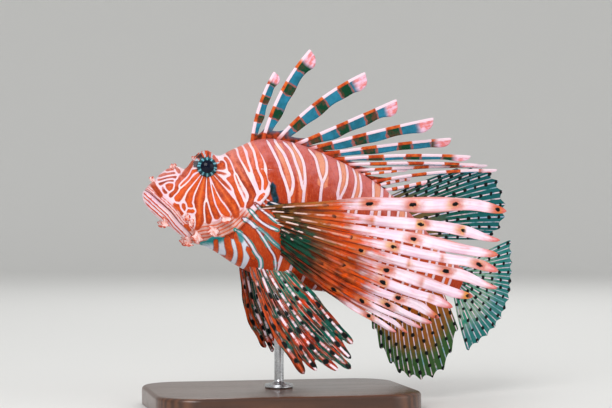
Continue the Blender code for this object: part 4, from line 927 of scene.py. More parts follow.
def math_method(operation):
    """A method that adds a Math node over a value and what it is called with."""
    return lambda self, *others: self.finish.math(operation, self, *others)


class Value:
    """A number that varies over a surface. It wraps a socket, and Python's operators add Math nodes."""

    def __init__(self, finish, socket):
        self.finish, self.socket = finish, socket

    __add__ = __radd__ = math_method("ADD")
    __mul__ = __rmul__ = math_method("MULTIPLY")
    __sub__ = math_method("SUBTRACT")
    __pow__ = math_method("POWER")
    __mod__ = math_method("FLOORED_MODULO")
    sine = math_method("SINE")
    floor = math_method("FLOOR")
    size = math_method("ABSOLUTE")
    least = math_method("MINIMUM")

    def __rsub__(self, other):
        return self.finish.math("SUBTRACT", other, self)

    def step(self, low, high):
        """0 below low, 1 above high, and a smooth climb between. With low over high it falls from 1 to 0."""
        return self.finish.node("ShaderNodeMapRange", {"interpolation_type": "SMOOTHSTEP"},
                                {"Value": self, "From Min": low, "From Max": high}, "Result")

    def around(self, step):
        """How far it lies before or behind the middle of the step that it is in."""
        return (self % step) - step * 0.5


class Finish:
    """A material, whose nodes are added by one method."""

    def __init__(self, name, **constants):
        self.material = bpy.data.materials.new(name)
        self.material.use_nodes = True
        self.tree = self.material.node_tree
        self.shader = self.tree.nodes["Principled BSDF"]
        for key, value in constants.items():
            self.shader.inputs[key.replace("_", " ")].default_value = value
        self.here = self.node("ShaderNodeTexCoord", output="Object")

    def put(self, socket, value):
        """Links a value, or sets a constant. A colour is linear, or three whole numbers as on the screen."""
        if isinstance(value, Value):
            self.tree.links.new(value.socket, socket)
        elif socket.type == "RGBA":
            linear = tint(*value) if all(isinstance(part, int) for part in value) else value
            socket.default_value = (*linear, 1.0)
        else:
            socket.default_value = value

    def node(self, kind, settings=None, inputs=None, output=0):
        """Adds a node: its settings first, then values or links for its sockets. Gives one of its outputs."""
        made = self.tree.nodes.new(kind)
        for key, value in (settings or {}).items():
            setattr(made, key, value)
        for key, value in (inputs or {}).items():
            self.put(made.inputs[key], value)
        return Value(self, made.outputs[output])

    def math(self, operation, *values):
        return self.node("ShaderNodeMath", {"operation": operation}, dict(enumerate(values)))

    def field(self, name):
        """A measure kept on the piece's points."""
        return self.node("ShaderNodeAttribute", {"attribute_name": name}, output="Fac")

    def fields(self, names):
        return [self.field(name) for name in names.split()]

    def noise(self, size, detail=3.0, shift=0.0, warp=0.0, where=None):
        """Cloudy noise about 0, its lumps about so many millimetres across."""
        where = where or self.here
        if shift:
            offset = (shift, shift * 0.7, -shift)
            where = self.node("ShaderNodeVectorMath", {"operation": "ADD"}, {0: where, 1: offset})
        sockets = {"Vector": where, "Scale": 1 / (size * MM), "Detail": detail,
                   "Roughness": NOISE_ROUGHNESS, "Distortion": warp}
        return (self.node("ShaderNodeTexNoise", {}, sockets, "Fac") - 0.5) * 2.0

    def clouds(self, *sizes):
        """Noises from fine to wide, each read at a place of its own."""
        return [self.noise(size, shift=shift) for size, shift in zip(sizes, CLOUD_SHIFTS)]

    def stretched(self, *scale):
        """The place on the piece with its three directions scaled, for noise that is drawn out."""
        return self.node("ShaderNodeMapping", {}, {"Vector": self.here, "Scale": scale}, "Vector")

    def flow(self, walk, ray, drawn=0.3, apart=5.0):
        """Where a point lies on a fin, for noise in streaks: a share of its walk, and its ray."""
        parts = {0: walk * (drawn * MM), 1: ray * (apart * MM), 2: 0.0}
        return self.node("ShaderNodeCombineXYZ", {}, parts, "Vector")

    def cells(self, size, jitter):
        """The distance to the edge of cells about so many millimetres across."""
        sockets = {"Vector": self.here, "Scale": 1 / (size * MM), "Randomness": jitter}
        return self.node("ShaderNodeTexVoronoi", {"feature": "DISTANCE_TO_EDGE"}, sockets, "Distance")

    def mix(self, share, first, second):
        """From the first colour to the second as share goes from 0 to 1."""
        return self.node("ShaderNodeMix", {"data_type": "RGBA"}, {0: share, 6: first, 7: second}, 2)

    def fade(self, by, soft, first, second):
        """From the first colour to the second as by goes from -soft to soft."""
        return self.mix(by.step(-soft, soft), first, second)

    def paint(self, colour, layers):
        """Lays (share, colour) layers over a colour, one after another."""
        for share, over in layers:
            colour = self.mix(share, colour, over)
        return colour

    def done(self, colour, height=None, deep=0.0, roughness=None, alpha=None):
        """Links what varies: colour, a bump of so many millimetres, roughness and alpha."""
        varied = {"Base Color": colour, "Roughness": roughness, "Alpha": alpha}
        if height is not None:
            sockets = {"Height": height, "Distance": deep * MM, "Strength": 1.0}
            varied["Normal"] = self.node("ShaderNodeBump", {}, sockets, "Normal")
        for name, value in varied.items():
            if value is not None:
                self.put(self.shader.inputs[name], value)
        return self.material


def skin_finish(look):
    """Scaly skin: a pale head filled with red and orange stripes, and a brick-red trunk with pale lines."""
    f = Finish("lionfish_skin", Roughness=0.42, Specular_IOR_Level=0.14, Coat_Weight=0.03, Coat_Roughness=0.2)
    fine, mid, wide = f.noise(1.1), f.noise(3.6, shift=0.3), f.noise(14.0, shift=0.7)
    grain = f.noise(1.4, where=f.stretched(1.8, 1.0, 0.4))
    wobble = fine * 0.16 + mid * 0.12

    def cover(name, soft=0.2, push=0.0):
        return (f.field(name) + wobble + push).step(-soft, soft)

    pale, brick, orange, pink, lilac = look.pale, look.brick, look.orange, look.pink, look.lilac
    depth, tone, mouth, gill, side = f.fields("depth tone mouth gill side")
    back, lower, orbit, petal = f.fields("high lower orbit petal")
    warm = (tone + mid * 0.5 + fine * 0.25 + depth * 0.2).step(0.2, 1.15)
    stripe = f.paint(f.mix(warm, brick, orange), [
        ((grain + fine * 0.6).step(0.1, 0.7) * 0.4, (232, 122, 70)),
        ((fine * -1.0 + grain * 0.4).step(0.1, 0.7) * 0.35, (120, 30, 10)),
        ((depth + mid * 0.8).step(1.2, 2.4) * 0.5, (226, 128, 66)),
        ((depth + fine * 0.3).step(-0.2, -0.9) * 0.45, (236, 118, 84)),
        ((orbit + mid * 4.0).step(9.0, 19.0) * (back + mid * 0.5 + fine * 0.2).step(0.3, 1.1) * 0.75,
         (232, 140, 126)),
    ])
    under = mouth.step(0.6, 1.0) * mouth.step(10.0, 8.0) * (side + mid * 0.2).step(0.1, 0.4)
    jaw_lines = ((mouth + mid * 0.35 + fine * 0.1) * (2 * math.pi / JAW_LINE_STEP)).sine()
    maxilla = mouth.step(-0.3, -0.7) * mouth.step(-5.2, -3.8)
    speckle = (fine * 1.2 + mid * 0.6 + f.noise(0.6) * 0.6).step(0.0, 0.4)
    upper_lines = ((mouth + mid * 0.5 + fine * 0.2) * (2 * math.pi / UPPER_LINE_STEP)).sine()
    cover_lines = ((gill + mid * 0.5) * (2 * math.pi / COVER_LINE_STEP)).sine().step(0.0, 0.55)
    head = f.paint(f.mix((wide * 0.8 + mid * 0.5).step(-0.45, 0.55), pale, lilac), [
        ((mid + fine * 0.6).step(0.3, 0.9) * 0.3, pink),
        (maxilla * 0.35, pink),
        (maxilla * (upper_lines + mid * 1.2).step(0.1, 0.6) * 0.9, (216, 78, 40)),
        (maxilla * speckle * 0.4, (250, 232, 236)),
        (lower * 0.9, f.fade(mid, 0.4, (226, 176, 170), (196, 128, 108))),
        (lower * cover_lines * 0.9, f.fade(mid + wide, 0.3, (214, 104, 62), (200, 70, 30))),
        (mouth.step(0.6, 1.4) * (mid * 1.2 + fine * 0.8).step(0.1, 0.45) * 0.45, (214, 104, 76)),
        (jaw_lines.step(-0.05, 0.5) * under, f.fade(mid, 0.3, (232, 90, 38), (208, 70, 30))),
        (cover("stripe"), stripe),
    ])
    ground = f.mix((mid * 0.8 + fine * 0.4 + wide * 0.9).step(-0.25, 0.75), (174, 52, 16), brick)
    ground = f.paint(ground, [
        ((back + mid * 0.35 + wide * 0.3).step(0.3, 1.05) * 0.8, (222, 130, 128)),
        ((wide + mid * 0.5).step(-0.5, 0.5) * back.step(0.7, 0.2) * 0.75, (212, 80, 26)),
        ((f.field("bar") + mid * 0.9).step(-0.6, 1.0) * (0.85 + fine * 0.15),
         f.mix((back + mid * 0.3).step(0.1, 0.9), orange, (240, 166, 134))),
        ((grain + fine * 0.4).step(0.0, 0.6) * 0.5, (232, 112, 62)),
        ((grain * -1.0 + fine * 0.4).step(0.1, 0.7) * 0.5, (116, 24, 8)),
    ])
    trunk = f.paint(ground, [
        ((f.field("pale") + wobble).step(-1.1, -0.3) * 0.4, (132, 30, 8)),
        (cover("pale", 0.25, 0.22), f.fade(mid, 0.5, pale, lilac)),
    ])
    colour = f.mix((f.field("ahead") + wobble).step(-0.25, 0.25), trunk, head)
    gill_cover = f.mix((gill + mid * 2.0).step(1.5, 5.0), (40, 146, 150), (222, 226, 240))
    ring = (orbit + fine * 0.7 + mid * 0.5).step(8.2, 7.5)
    colour = f.paint(colour, [
        (cover("breast", 0.6, 0.4), gill_cover),
        (cover("bars", 0.3, 0.3) * 0.8, (60, 40, 40)),
        (cover("bars", 0.3), f.fade(mid, 0.4, orange, (188, 66, 22))),
        (ring * 0.9, f.fade(petal + mid * 0.9 + f.field("under"), 0.3, (200, 74, 32), (6, 34, 40))),
        (ring * (fine - petal).step(0.6, 0.9) * 0.8, (176, 214, 228)),
        (cover("wash", 0.4, 0.9), f.mix((mid + wide * 2.0).step(-0.1, 0.3), (24, 140, 132), (146, 50, 30))),
        (cover("wash", 0.25), f.fade(mid, 0.5, (244, 230, 238), (204, 210, 234))),
        (cover("teal", 0.9) * 0.9, look.teal),
        # Near-black axil and gap behind the gill cover: partly the fish's own dark skin, partly painted shade
        (cover("dark", 0.7), f.fade(mid, 0.3, (6, 26, 26), (10, 62, 84))),
        (cover("white", 0.2), (240, 230, 240)),
        (f.field("lip").step(-0.1, 0.35), (150, 44, 24)),
        # Painted shade: skin drawn in under the eyeball, inside the socket, is painted near black
        (f.field("socket").step(0.2, 0.9), (12, 20, 24)),
    ])
    scale = f.cells(look.scale_size, 0.75)
    height = scale.step(0.0, 0.35) * 0.4 + fine * 0.35 + grain * 0.2 + f.noise(0.5, 2.0) * 0.15
    gloss = 0.42 + fine * 0.08 - scale.step(0.0, 0.3) * 0.08
    return f.done(colour, height, look.scale_height, gloss)


def flap_finish(look):
    """Skin flaps: pale pink, mottled, with orange-red rims and tips."""
    f = Finish("skin_flap", Roughness=0.45, Specular_IOR_Level=0.15)
    fine, mid = f.clouds(0.8, 2.4)
    share, rim = f.field("share"), f.field("rim")
    edge = (rim + fine * 0.25 + mid * 0.15).step(0.72, 0.9)
    blotch = ((share * 9.0).sine() * 0.5 + mid + fine * 0.5).step(0.3, 0.6)
    colour = f.paint(f.fade(mid, 0.4, look.pale, look.pink), [
        (blotch * 0.85, (208, 84, 40)),
        (edge * 0.9, (204, 74, 38)),
        ((share + mid * 0.1).step(0.8, 0.95) * 0.6, (196, 62, 34)),
    ])
    return f.done(colour, fine + mid * 0.5, 0.2)


def spiny_finish(look):
    """The first dorsal fin: teal ribbons with dark green bands, spines turned orange there, and pink tips."""
    f = Finish("spine_ribbons", Roughness=0.45, Specular_IOR_Level=0.12)
    lead, share, ray, walk = f.fields("lead share ray walk")
    fine, mid, wide = f.clouds(1.2, 3.5, 9.0)
    streak = f.noise(1.6, where=f.flow(walk, lead, 0.25, 1.0))
    spine = (lead.size() + fine * 0.15).step(1.35, 0.95)
    wave = ((share * 3.7 + ray * 0.19 + mid * 0.03) * (2 * math.pi)).sine()
    outer = share.step(0.9, 0.84)
    band = (wave + mid * 0.6 + wide * 0.3).step(0.3, 0.6) * outer
    flank = (wave + mid * 0.5).step(-0.05, 0.2) * outer
    tip = (share + mid * 0.02).step(0.84, 0.9)
    membrane = f.paint(f.fade(wide + mid * 0.5, 0.5, look.ribbon, (40, 132, 164)), [
        (streak.step(0.2, 0.9) * 0.25, (110, 176, 196)),
        ((flank - band).step(0.2, 0.8) * wide.step(-0.5, 0.1) * 0.8, (186, 80, 40)),
        (band * 0.95, f.mix((wide + mid * 0.8).step(-0.1, 0.5), (4, 60, 24), (96, 52, 12))),
        (band * (mid + fine * 0.5).step(0.1, 0.7) * 0.6, (6, 22, 10)),
        (tip, f.fade(streak + mid, 0.4, (240, 196, 220), (232, 130, 130))),
        ((share + mid * 0.02).step(0.17, 0.06), f.fade(mid, 0.3, (168, 60, 26), (60, 26, 12))),
    ])
    shaft = f.mix((wave + mid * 0.4).step(0.1, 0.35) * outer, look.ray,
                  f.fade(mid, 0.3, (222, 104, 40), (178, 60, 30)))
    shaft = f.mix(share.step(0.1, 0.02) * 0.8, shaft, (196, 70, 36))
    colour = f.mix(spine, membrane, shaft)
    alpha = (spine + band * 0.3 + tip * 0.3 + look.cloudiness + share.step(0.2, 0.05)).least(1.0)
    return f.done(colour, fine * 0.3 + streak * 0.4, 0.22, alpha=alpha)


def median_finish(look, name, sheet_one, sheet_two, root, rim):
    """The clear fins: see-through sheets with pale branching rays and dark spots in rows along them."""
    f = Finish(name, Roughness=0.42, Specular_IOR_Level=0.1)
    offset, share, ray, walk, place = f.fields("offset share ray walk place")
    fine, mid, wide = f.clouds(1.1, 4.0, 12.0)
    streak = f.noise(1.6, where=f.flow(walk, place, 0.2, 6.0))
    shaft = (offset + fine * 0.12).step(0.48, 0.24)
    between = (place + 0.5).around(1.0).size()
    branch = ((between - 0.5).size() + fine * 0.01).step(0.07, 0.035) * (share + mid * 0.1).step(0.25, 0.45)
    broken = (streak * 0.6 + mid + wide * 0.5).step(-0.9, -0.3) * 0.55 + 0.4
    patchy = (streak + mid * 0.6 + fine * 0.3).step(-0.5, 0.1)
    along = (walk + mid * 1.8 + (ray * 2.39).sine() * 2.4).around(look.spot_step)
    far = (along * along + offset * offset) ** 0.5 + fine * 0.4 + mid * 0.5
    spot = far.step(look.spot_size * 1.2, look.spot_size * 0.8) * (share + wide * 0.05).step(0.05, 0.12)
    sheet = f.fade(wide + mid * 0.6 + streak * 0.5, 0.5, sheet_one, sheet_two)
    colour = f.paint(sheet, [
        ((share + wide * 0.12 + mid * 0.05).step(0.5, 0.8) * 0.9, rim),
        ((share + mid * 0.08).step(0.4, 0.05) * 0.85, root),
        ((mid * -1.0 + wide * 0.6).step(0.35, 0.7) * share.step(0.4, 0.15) * 0.8, look.spot),
        (branch * patchy * 0.8, f.fade(wide, 0.3, look.ray, (150, 196, 220))),
        (shaft * broken, f.mix((mid + streak + wide).step(-0.3, 0.5), look.ray, (150, 176, 206))),
        (spot, look.spot),
    ])
    alpha = (shaft * 0.4 + spot * 0.6 + look.cloudiness + share.step(0.4, 0.0) * 0.25).least(1.0)
    return f.done(colour, fine * 0.3 + streak * 0.4, 0.15, alpha=alpha)


def pectoral_finish(look):
    """The great side fins: dark green roots, orange-red middles, and pale pink straps with black spots."""
    f = Finish("strap_fin", Roughness=0.45, Specular_IOR_Level=0.12)
    offset, share, ray, walk, lead = f.fields("offset share ray walk lead")
    fine, mid, wide = f.clouds(1.1, 4.0, 12.0)
    streak = f.noise(2.0, where=f.flow(walk, lead * 0.2 + ray, 0.12, 9.0))
    broad = f.noise(7.0, where=f.flow(walk, lead * 0.2 + ray, 0.3, 9.0), shift=0.05)
    low, web = ray.step(1.5, 8.0), lead.step(8.0, 9.0)
    shaft = (offset + fine * 0.2).step(0.9, 0.45)
    edge = share + mid * 0.05 + streak * 0.1 + broad * 0.12
    green = (edge + wide * 0.05 - low * 0.08).step(0.28, 0.06)
    warm = (edge + wide * 0.12 + broad * 0.1 - low * 0.24).step(0.47, 0.27)
    strap = f.fade(wide + streak * 0.5, 0.5, (253, 234, 246), (248, 210, 232))
    strap = f.paint(strap, [
        ((streak + offset * 0.16).step(0.3, 1.0) * 0.55, (238, 142, 96)),
        ((broad + wide * 0.5).step(0.2, 0.7) * 0.65, (230, 126, 74)),
        # Painted shade: both edges of every strap turn darker and pinker, standing in for the shadows where
        # the straps overlap
        ((offset + streak * 0.5).step(3.0, 4.6) * 0.5, (218, 104, 88)),
        ((streak * -1.0 + offset * 0.1).step(0.35, 0.7) * 0.4, (202, 80, 44)),
        (warm, f.mix((streak + mid * 0.5).step(-0.35, 0.45), (236, 86, 8), (162, 42, 4))),
        (warm * (broad + mid * 0.3).step(-0.15, 0.3) * 0.8, f.mix(low, (140, 98, 30), (34, 20, 8))),
        (warm * low * (wide * 0.9 - streak * 0.5 - share).step(-0.45, -0.1) * 0.8, (30, 20, 10)),
        (warm * (streak + shaft * 0.3).step(0.45, 0.85) * 0.55, (238, 122, 48)),
        (warm * (1.0 - low * 0.85) * (shaft * mid.step(-0.3, 0.1)) * 0.45, (252, 200, 180)),
        (shaft * (1.0 - warm) * 0.35, (255, 244, 248)),
        ((share + mid * 0.03 + offset * 0.012).step(0.93, 1.0) * 0.85, (216, 74, 40)),
    ])
    dashes = (walk * 0.45 + ray * 5.0 + mid * 2.0).sine().step(-0.7, 0.1)
    dashes = dashes * (mid + wide - low * 1.3).step(-0.8, -0.4)
    ground = f.mix((ray + mid).step(0.6, 4.0), (116, 80, 34), (4, 66, 48))
    roots = f.paint(f.fade(mid + broad, 0.4, ground, (26, 18, 10)), [
        ((streak + broad).step(0.0, 0.5) * 0.85, f.mix(low, (150, 74, 20), (168, 46, 12))),
        ((offset + fine * 0.15).step(0.6, 0.3) * dashes * 0.95, (246, 212, 206)),
    ])
    dusk = f.paint(f.mix((streak + broad).step(-0.3, 0.4), (170, 54, 20), (40, 26, 12)), [
        ((1.0 - warm) * 0.7, (216, 118, 78)),
    ])
    colour = f.mix(green, f.mix(web, strap, dusk), roots)
    shift = (ray * 3.71).sine() * 9.0 + (ray * 8.3).sine() * 4.0
    along = (walk + mid * 2.5 + shift).around(look.strap_spot_step)
    far = (along * along * 0.7 + offset * offset * 1.6) ** 0.5 + fine * 0.5 + mid * 0.9
    some = ((walk * 0.11 + ray * 2.3).sine() + ray.step(0.8, 0.4) * 2.0).step(-0.3, 0.0)
    here = share.step(0.2, 0.3) * share.step(1.0, 0.97) * some
    colour = f.paint(colour, [
        ((far + broad * 2.0).step(7.4, 1.6) * here * 0.85,
         f.mix((mid + wide).step(-0.2, 0.6) * (1.0 - warm * 0.9), (206, 88, 36), (228, 166, 62))),
        (far.step(1.9, 1.3) * here, look.spot),
    ])
    alpha = (look.cloudiness + 0.24 + shaft * 0.3 - web * 0.1).least(1.0)
    return f.done(colour, fine * 0.2 + shaft * 0.3 + streak * 0.6, 0.3, alpha=alpha)


def pelvic_finish(look):
    """The fins under the belly: dark green and red skin with white streaks, orange blotches and spots."""
    f = Finish("belly_fin", Roughness=0.45, Specular_IOR_Level=0.1)
    offset, share, ray, walk, place = f.fields("offset share ray walk place")
    fine, mid, wide = f.clouds(1.1, 4.0, 9.0)
    streak = f.noise(1.7, where=f.flow(walk, place, 0.14, 9.0))
    other = f.noise(2.4, where=f.flow(walk, place, 0.18, 9.0), shift=0.04)
    third = f.noise(2.0, where=f.flow(walk, place, 0.16, 9.0), shift=0.09)
    shaft = (offset + fine * 0.2 + mid * 0.2).step(0.95, 0.5)
    between = ((place * 3.0).around(1.0).size() + fine * 0.05).step(0.36, 0.45)
    dash = (f.noise(3.0, where=f.flow(walk, ray, 0.26, 9.0)) + fine * 0.1).step(-0.08, 0.08)
    sheet = f.paint(f.fade(wide + mid * 0.4, 0.4, (6, 84, 70), (8, 26, 18)), [
        ((place + mid).step(1.8, 3.6) * (share + mid * 0.1).step(0.55, 0.25) * 0.8, (8, 116, 94)),
        ((other + wide * 0.3).step(-0.05, 0.25), f.fade(mid, 0.3, (206, 62, 20), (120, 30, 12))),
        ((third - streak * 0.3).step(0.25, 0.5) * 0.9, f.fade(mid, 0.3, (226, 140, 116), (240, 196, 190))),
        ((streak - other * 0.3).step(0.3, 0.55) * 0.95, (246, 222, 232)),
        (between * (dash * -1.0 + 1.0) * 0.6, (236, 176, 172)),
        (shaft * dash * 0.95, (250, 226, 238)),
        ((place + mid * 0.4).step(1.0, 0.3) * (other + wide).step(-0.4, 0.0) * 0.85,
         f.fade(third, 0.2, (206, 76, 22), (44, 22, 10))),
    ])
    row = (place * 2.0 + 0.5).floor()
    along = (walk + mid * 3.0 + (row * 2.7).sine() * 6.0).around(13.0)
    aside = (place * 2.0 + 0.5).around(1.0) * 5.5
    far = (along * along * 0.5 + aside * aside) ** 0.5 + fine * 0.5 + mid * 0.9
    colour = f.mix(far.step(1.9, 1.2) * share.step(0.08, 0.2), sheet, look.spot)
    alpha = (look.cloudiness + 0.3 + shaft * 0.2).least(1.0)
    return f.done(colour, fine * 0.3 + shaft * 0.3 + streak * 0.4, 0.2, alpha=alpha)


def eye_finish(look):
    """A glassy eye: black pupil, pale blue spokes on a dark teal ring, and a dark rim."""
    f = Finish("glass_eye", Roughness=0.06, Specular_IOR_Level=0.2)
    gaze, spoke, fine = f.field("gaze"), f.field("spoke"), f.noise(0.9)
    spokes = (spoke * 11.0 + fine * 1.8).sine().step(0.25, 0.8) * (gaze + fine * 8.0).step(36.0, 40.0)
    iris = f.paint(f.fade(fine, 0.4, look.iris_dark, (10, 84, 84)), [
        (spokes * 0.85, look.iris),
        (fine.step(0.1, 0.7) * 0.35, (20, 120, 110)),
        ((gaze + fine * 5.0).step(62.0, 70.0) * 0.9, (16, 14, 18)),
    ])
    outside = (gaze + fine * 0.8).step(look.pupil_angle, look.pupil_angle + 2.0)
    colour = f.mix(outside, PUPIL_COLOUR, iris)
    return f.done(colour, fine * 0.2 * gaze.step(40.0, 60.0), 0.05)


def walnut_finish(look):
    """Oiled dark wood: long grain with darker pores, its rings drawn out along the base."""
    f = Finish("dark_walnut", Roughness=0.35, Coat_Weight=0.35, Coat_Roughness=0.15)
    drawn = f.stretched(0.09, 1.0, 0.7)
    figure = f.noise(9.0, 4.0, where=drawn, warp=1.2)
    waves = {"Vector": drawn, "Scale": 90.0, "Distortion": 5.0, "Detail": 3.0, "Detail Scale": 1.2}
    rings = f.node("ShaderNodeTexWave", {"wave_type": "BANDS", "bands_direction": "Y"}, waves, "Fac")
    pores = f.noise(0.5, 2.0, where=f.stretched(0.06, 1.0, 1.0))
    colour = f.paint(f.mix(rings * 0.8, look.wood, look.wood_dark), [
        (figure.step(-0.3, 0.6) * 0.5, (66, 38, 22)),
        (pores.step(0.25, 0.6) * 0.6, (24, 12, 8)),
    ])
    return f.done(colour, pores * -0.5 + rings * 0.1, 0.12, 0.33 + figure * 0.08 + pores * 0.06)


def steel_finish(look):
    """Brushed steel: fine rings round the rod, with faint smudges."""
    f = Finish("brushed_steel", Metallic=1.0, Roughness=0.28)
    drawn = f.stretched(0.03, 0.03, 1.0)
    brush, smudge = f.noise(0.25, 2.0, where=drawn), f.noise(7.0)
    colour = f.fade(smudge, 0.5, look.steel, (182, 184, 188))
    return f.done(colour, brush, 0.03, 0.27 + brush * 0.08 + smudge * 0.05)


def colour_prop(name, description, *screen):
    return FloatVectorProperty(name=name, description=description, default=tint(*screen), subtype="COLOR",
                               min=0.0, max=1.0)


def length_prop(name, description, default):
    return FloatProperty(name=name, description=description, default=default * MM, unit="LENGTH",
                         subtype="DISTANCE", precision=5)


def number_prop(name, description, default, **limits):
    return FloatProperty(name=name, description=description, default=default, **limits)


class LionfishSkinLook(bpy.types.PropertyGroup):
    pale: colour_prop("Pale", "Ground of the head and pale lines of the trunk", 250, 226, 226)
    lilac: colour_prop("Lilac", "Cooler patches of the pale ground", 238, 204, 226)
    pink: colour_prop("Pink", "Faint mottling of the pale ground", 234, 150, 132)
    brick: colour_prop("Brick", "Broad bars and stripe edges", 146, 42, 16)
    orange: colour_prop("Orange", "Narrow bars and bright strokes", 226, 88, 26)
    teal: colour_prop("Teal", "Patches between the lines on the breast", 30, 138, 144)
    scale_size: number_prop("Scale size", "Width of a scale in millimetres", 1.1, min=0.3)
    scale_height: number_prop("Scale height", "Relief of the scales in millimetres", 0.22)
    rings: IntProperty(name="Rings", description="Rings of the skin, snout to tail", default=376, min=60,
                       max=380)
    sides: IntProperty(name="Sides", description="Points round each ring", default=260, min=40, max=262)
    lid_angle: number_prop("Lid opening", "Angle left open by the lids, in degrees", 70.0, min=30.0, max=80.0)


class LionfishFinLook(bpy.types.PropertyGroup):
    strap_spot_step: number_prop("Strap spots", "Way between spots on a strap in millimetres", 27.0, min=5.0)
    ribbon: colour_prop("Ribbon", "Skin of the ribbons behind the dorsal spines", 24, 104, 126)
    ray: colour_prop("Ray", "Pale parts of spines and rays", 250, 222, 234)
    spot: colour_prop("Spot", "Dark spots of all fins", 10, 14, 16)
    cloudiness: number_prop("Cloudiness", "How much light the fin skin stops", 0.9, min=0.0, max=1.0)
    spot_step: number_prop("Spot spacing", "Distance between spots on a ray in millimetres", 8.8)
    spot_size: number_prop("Spot size", "Radius of a spot in millimetres", 1.4)
    skin: length_prop("Skin", "Half the thickness of the fin skin", 0.14)
    spine: length_prop("Spine", "Half the thickness of a dorsal spine at its root", 1.05)


class LionfishEyeLook(bpy.types.PropertyGroup):
    radius: length_prop("Radius", "Radius of the eyeball", EYE_RADIUS - 0.05)
    iris: colour_prop("Iris", "Pale ring of the iris", 120, 196, 216)
    iris_dark: colour_prop("Iris spokes", "Spokes across the iris", 8, 40, 62)
    pupil_angle: number_prop("Pupil", "Half angle of the pupil in degrees", 36.0)


class LionfishStandLook(bpy.types.PropertyGroup):
    length: length_prop("Base length", "Length of the base", 168.0)
    width: length_prop("Base width", "Width of the base", 116.0)
    thick: length_prop("Base thickness", "Thickness of the base", 12.0)
    corner: length_prop("Corner", "Radius of the base's corners", 26.0)
    edge: length_prop("Edge", "Rounding of the base's upper edge", 2.5)
    rod: length_prop("Rod", "Radius of the rod", 3.0)
    wood: colour_prop("Wood", "Lighter grain of the base", 104, 64, 40)
    wood_dark: colour_prop("Dark wood", "Darker grain of the base", 52, 28, 18)
    steel: colour_prop("Steel", "Colour of the rod", 206, 208, 210)


class LionfishStageLook(bpy.types.PropertyGroup):
    floor: colour_prop("Floor", "Colour of the floor", 232, 232, 230)
    camera_distance: number_prop("Camera distance", "From the fish to the camera", 1.2, unit="LENGTH")
    key: number_prop("Key light", "Power of the large soft light in watts", 22.5)
    fill: number_prop("Fill light", "Power of the fill and rim lights in watts", 6.0)
    sky: number_prop("Sky", "Strength of the even light from all round", 0.54)


def skin_rings(count):
    """Places of the rings along the body: close together at the snout, fine over the head, wider behind."""
    snout = SNOUT_END * np.linspace(0.0, 1.0, 13)[:-1] ** 2
    tail = BODY_STATIONS[-1][0] - 1.6 * np.linspace(1.0, 0.0, 9)[1:] ** 2
    rest = count - len(snout) - len(tail)
    head = int(rest * 0.6)
    return np.concatenate([snout, np.linspace(SNOUT_END, HEAD_END, head),
                           np.linspace(HEAD_END, TAIL_START, rest - head + 1)[1:], tail])


def skin_fields(along, up, high, facing):
    """What the skin's finish goes by at each point: how far it lies inside strokes, distances from lines, and
    shares. High is 1 at the back and -1 at the belly, and facing is 1 where the plain body faces the side."""
    fields = {name: ink(along, up, strokes) for name, strokes in STROKES.items()}
    fields |= {name: ink(along, up, strokes, LONG_TAPER) for name, strokes in LONG_STROKES.items()}
    fields["stripe"], fields["tone"], fields["depth"] = stripes(along, up, STRIPES)
    fields["ahead"] = ahead_of(up, along, GILL_EDGE[:7] + GROUND_BORDER)
    gill = line_distance(along, up, GILL_EDGE[:6])[0]
    mouth = below_mouth(along, up)
    fields["lip"] = (0.45 - np.abs(mouth)) * mouth_share(along) - 1.0 * (along > MOUTH_END)
    fields["lower"] = smooth_step(up, 9.0, 3.0) * smooth_step(gill, 12.0, 9.0)
    fields["lower"] *= smooth_step(along, 33.0, 38.0)
    ahead, over = along - EYE_ALONG, up - EYE_UP
    fields["orbit"], fields["petal"] = np.hypot(ahead, over), np.sin(8 * np.arctan2(over, ahead) + 0.6)
    fields["under"] = np.clip((1 - over) * 0.2 - ahead * 0.12, -1.4, 0.6)
    return fields | {"gill": gill, "mouth": mouth, "high": high, "side": facing}


def skin_folds(along, up, fields):
    """Low folds on the skin, in millimetres: stripes and pale lines stand out, and sines frill the jaws."""
    mouth = fields["mouth"]
    marks = 0.34 * smooth_step(fields["stripe"], -0.6, 0.6) + 0.18 * smooth_step(fields["pale"], -0.6, 0.4)
    lip = smooth_step(mouth, -0.4, -0.9) * smooth_step(mouth, -5.2, -3.8)
    jaw = smooth_step(mouth, 0.6, 1.0) * smooth_step(mouth, 9.5, 8.0)
    frills = 0.22 * np.sin(along * 2.6 + up * 1.9) * lip
    frills = frills + 0.16 * np.sin(mouth * 2 * math.pi / JAW_LINE_STEP) * jaw
    return (marks + frills * smooth_step(fields["side"], 0.15, 0.5)) * fields["side"]


class LIONFISH_OT_skin(bpy.types.Operator):
    """Make the one skin of head and trunk, with its markings measured on it"""

    bl_idname = "lionfish.skin"
    bl_label = "Skin"

    def execute(self, context):
        look = context.scene.lionfish_skin
        along, turn = skin_rings(look.rings)[:, None], round_turn(look.sides)
        back, belly, half, widest = body_section(along)
        up = widest + np.where(np.cos(turn) > 0, back - widest, widest - belly) * np.cos(turn)
        plain = np.stack([np.broadcast_to(along, up.shape), up, half * np.sin(turn)], axis=-1)
        normals = grid_normals(plain)
        facing = np.abs(normals[..., 2])
        high = np.clip((up - widest) / np.maximum(back - widest, 1), -1, 1)
        fields = skin_fields(plain[..., 0], up, high, facing)
        lift = body_relief(plain[..., 0], up) * facing**0.5
        lift = np.where(half > 0.01, lift + brow_crest(plain), 0.0) - SKIN_SUNK
        lift = lift + skin_folds(plain[..., 0], up, fields)
        points = set_eyes(plain + normals * lift[..., None], look.lid_angle)
        from_eye = [np.linalg.norm(points - (EYE_ALONG, EYE_UP, side * EYE_OUT), axis=-1) for side in (1, -1)]
        # Socket marks skin drawn in under the eyeball, which the skin's finish paints near black as shade
        fields["socket"] = smooth_step(np.minimum(*from_eye), EYE_RADIUS + 0.05, EYE_RADIUS - 0.8)
        points, faces, fields = tube(points, fields)
        add_piece("lionfish_skin", posed(points), faces, skin_finish(look), SKIN_NODES, fields)
        return {"FINISHED"}


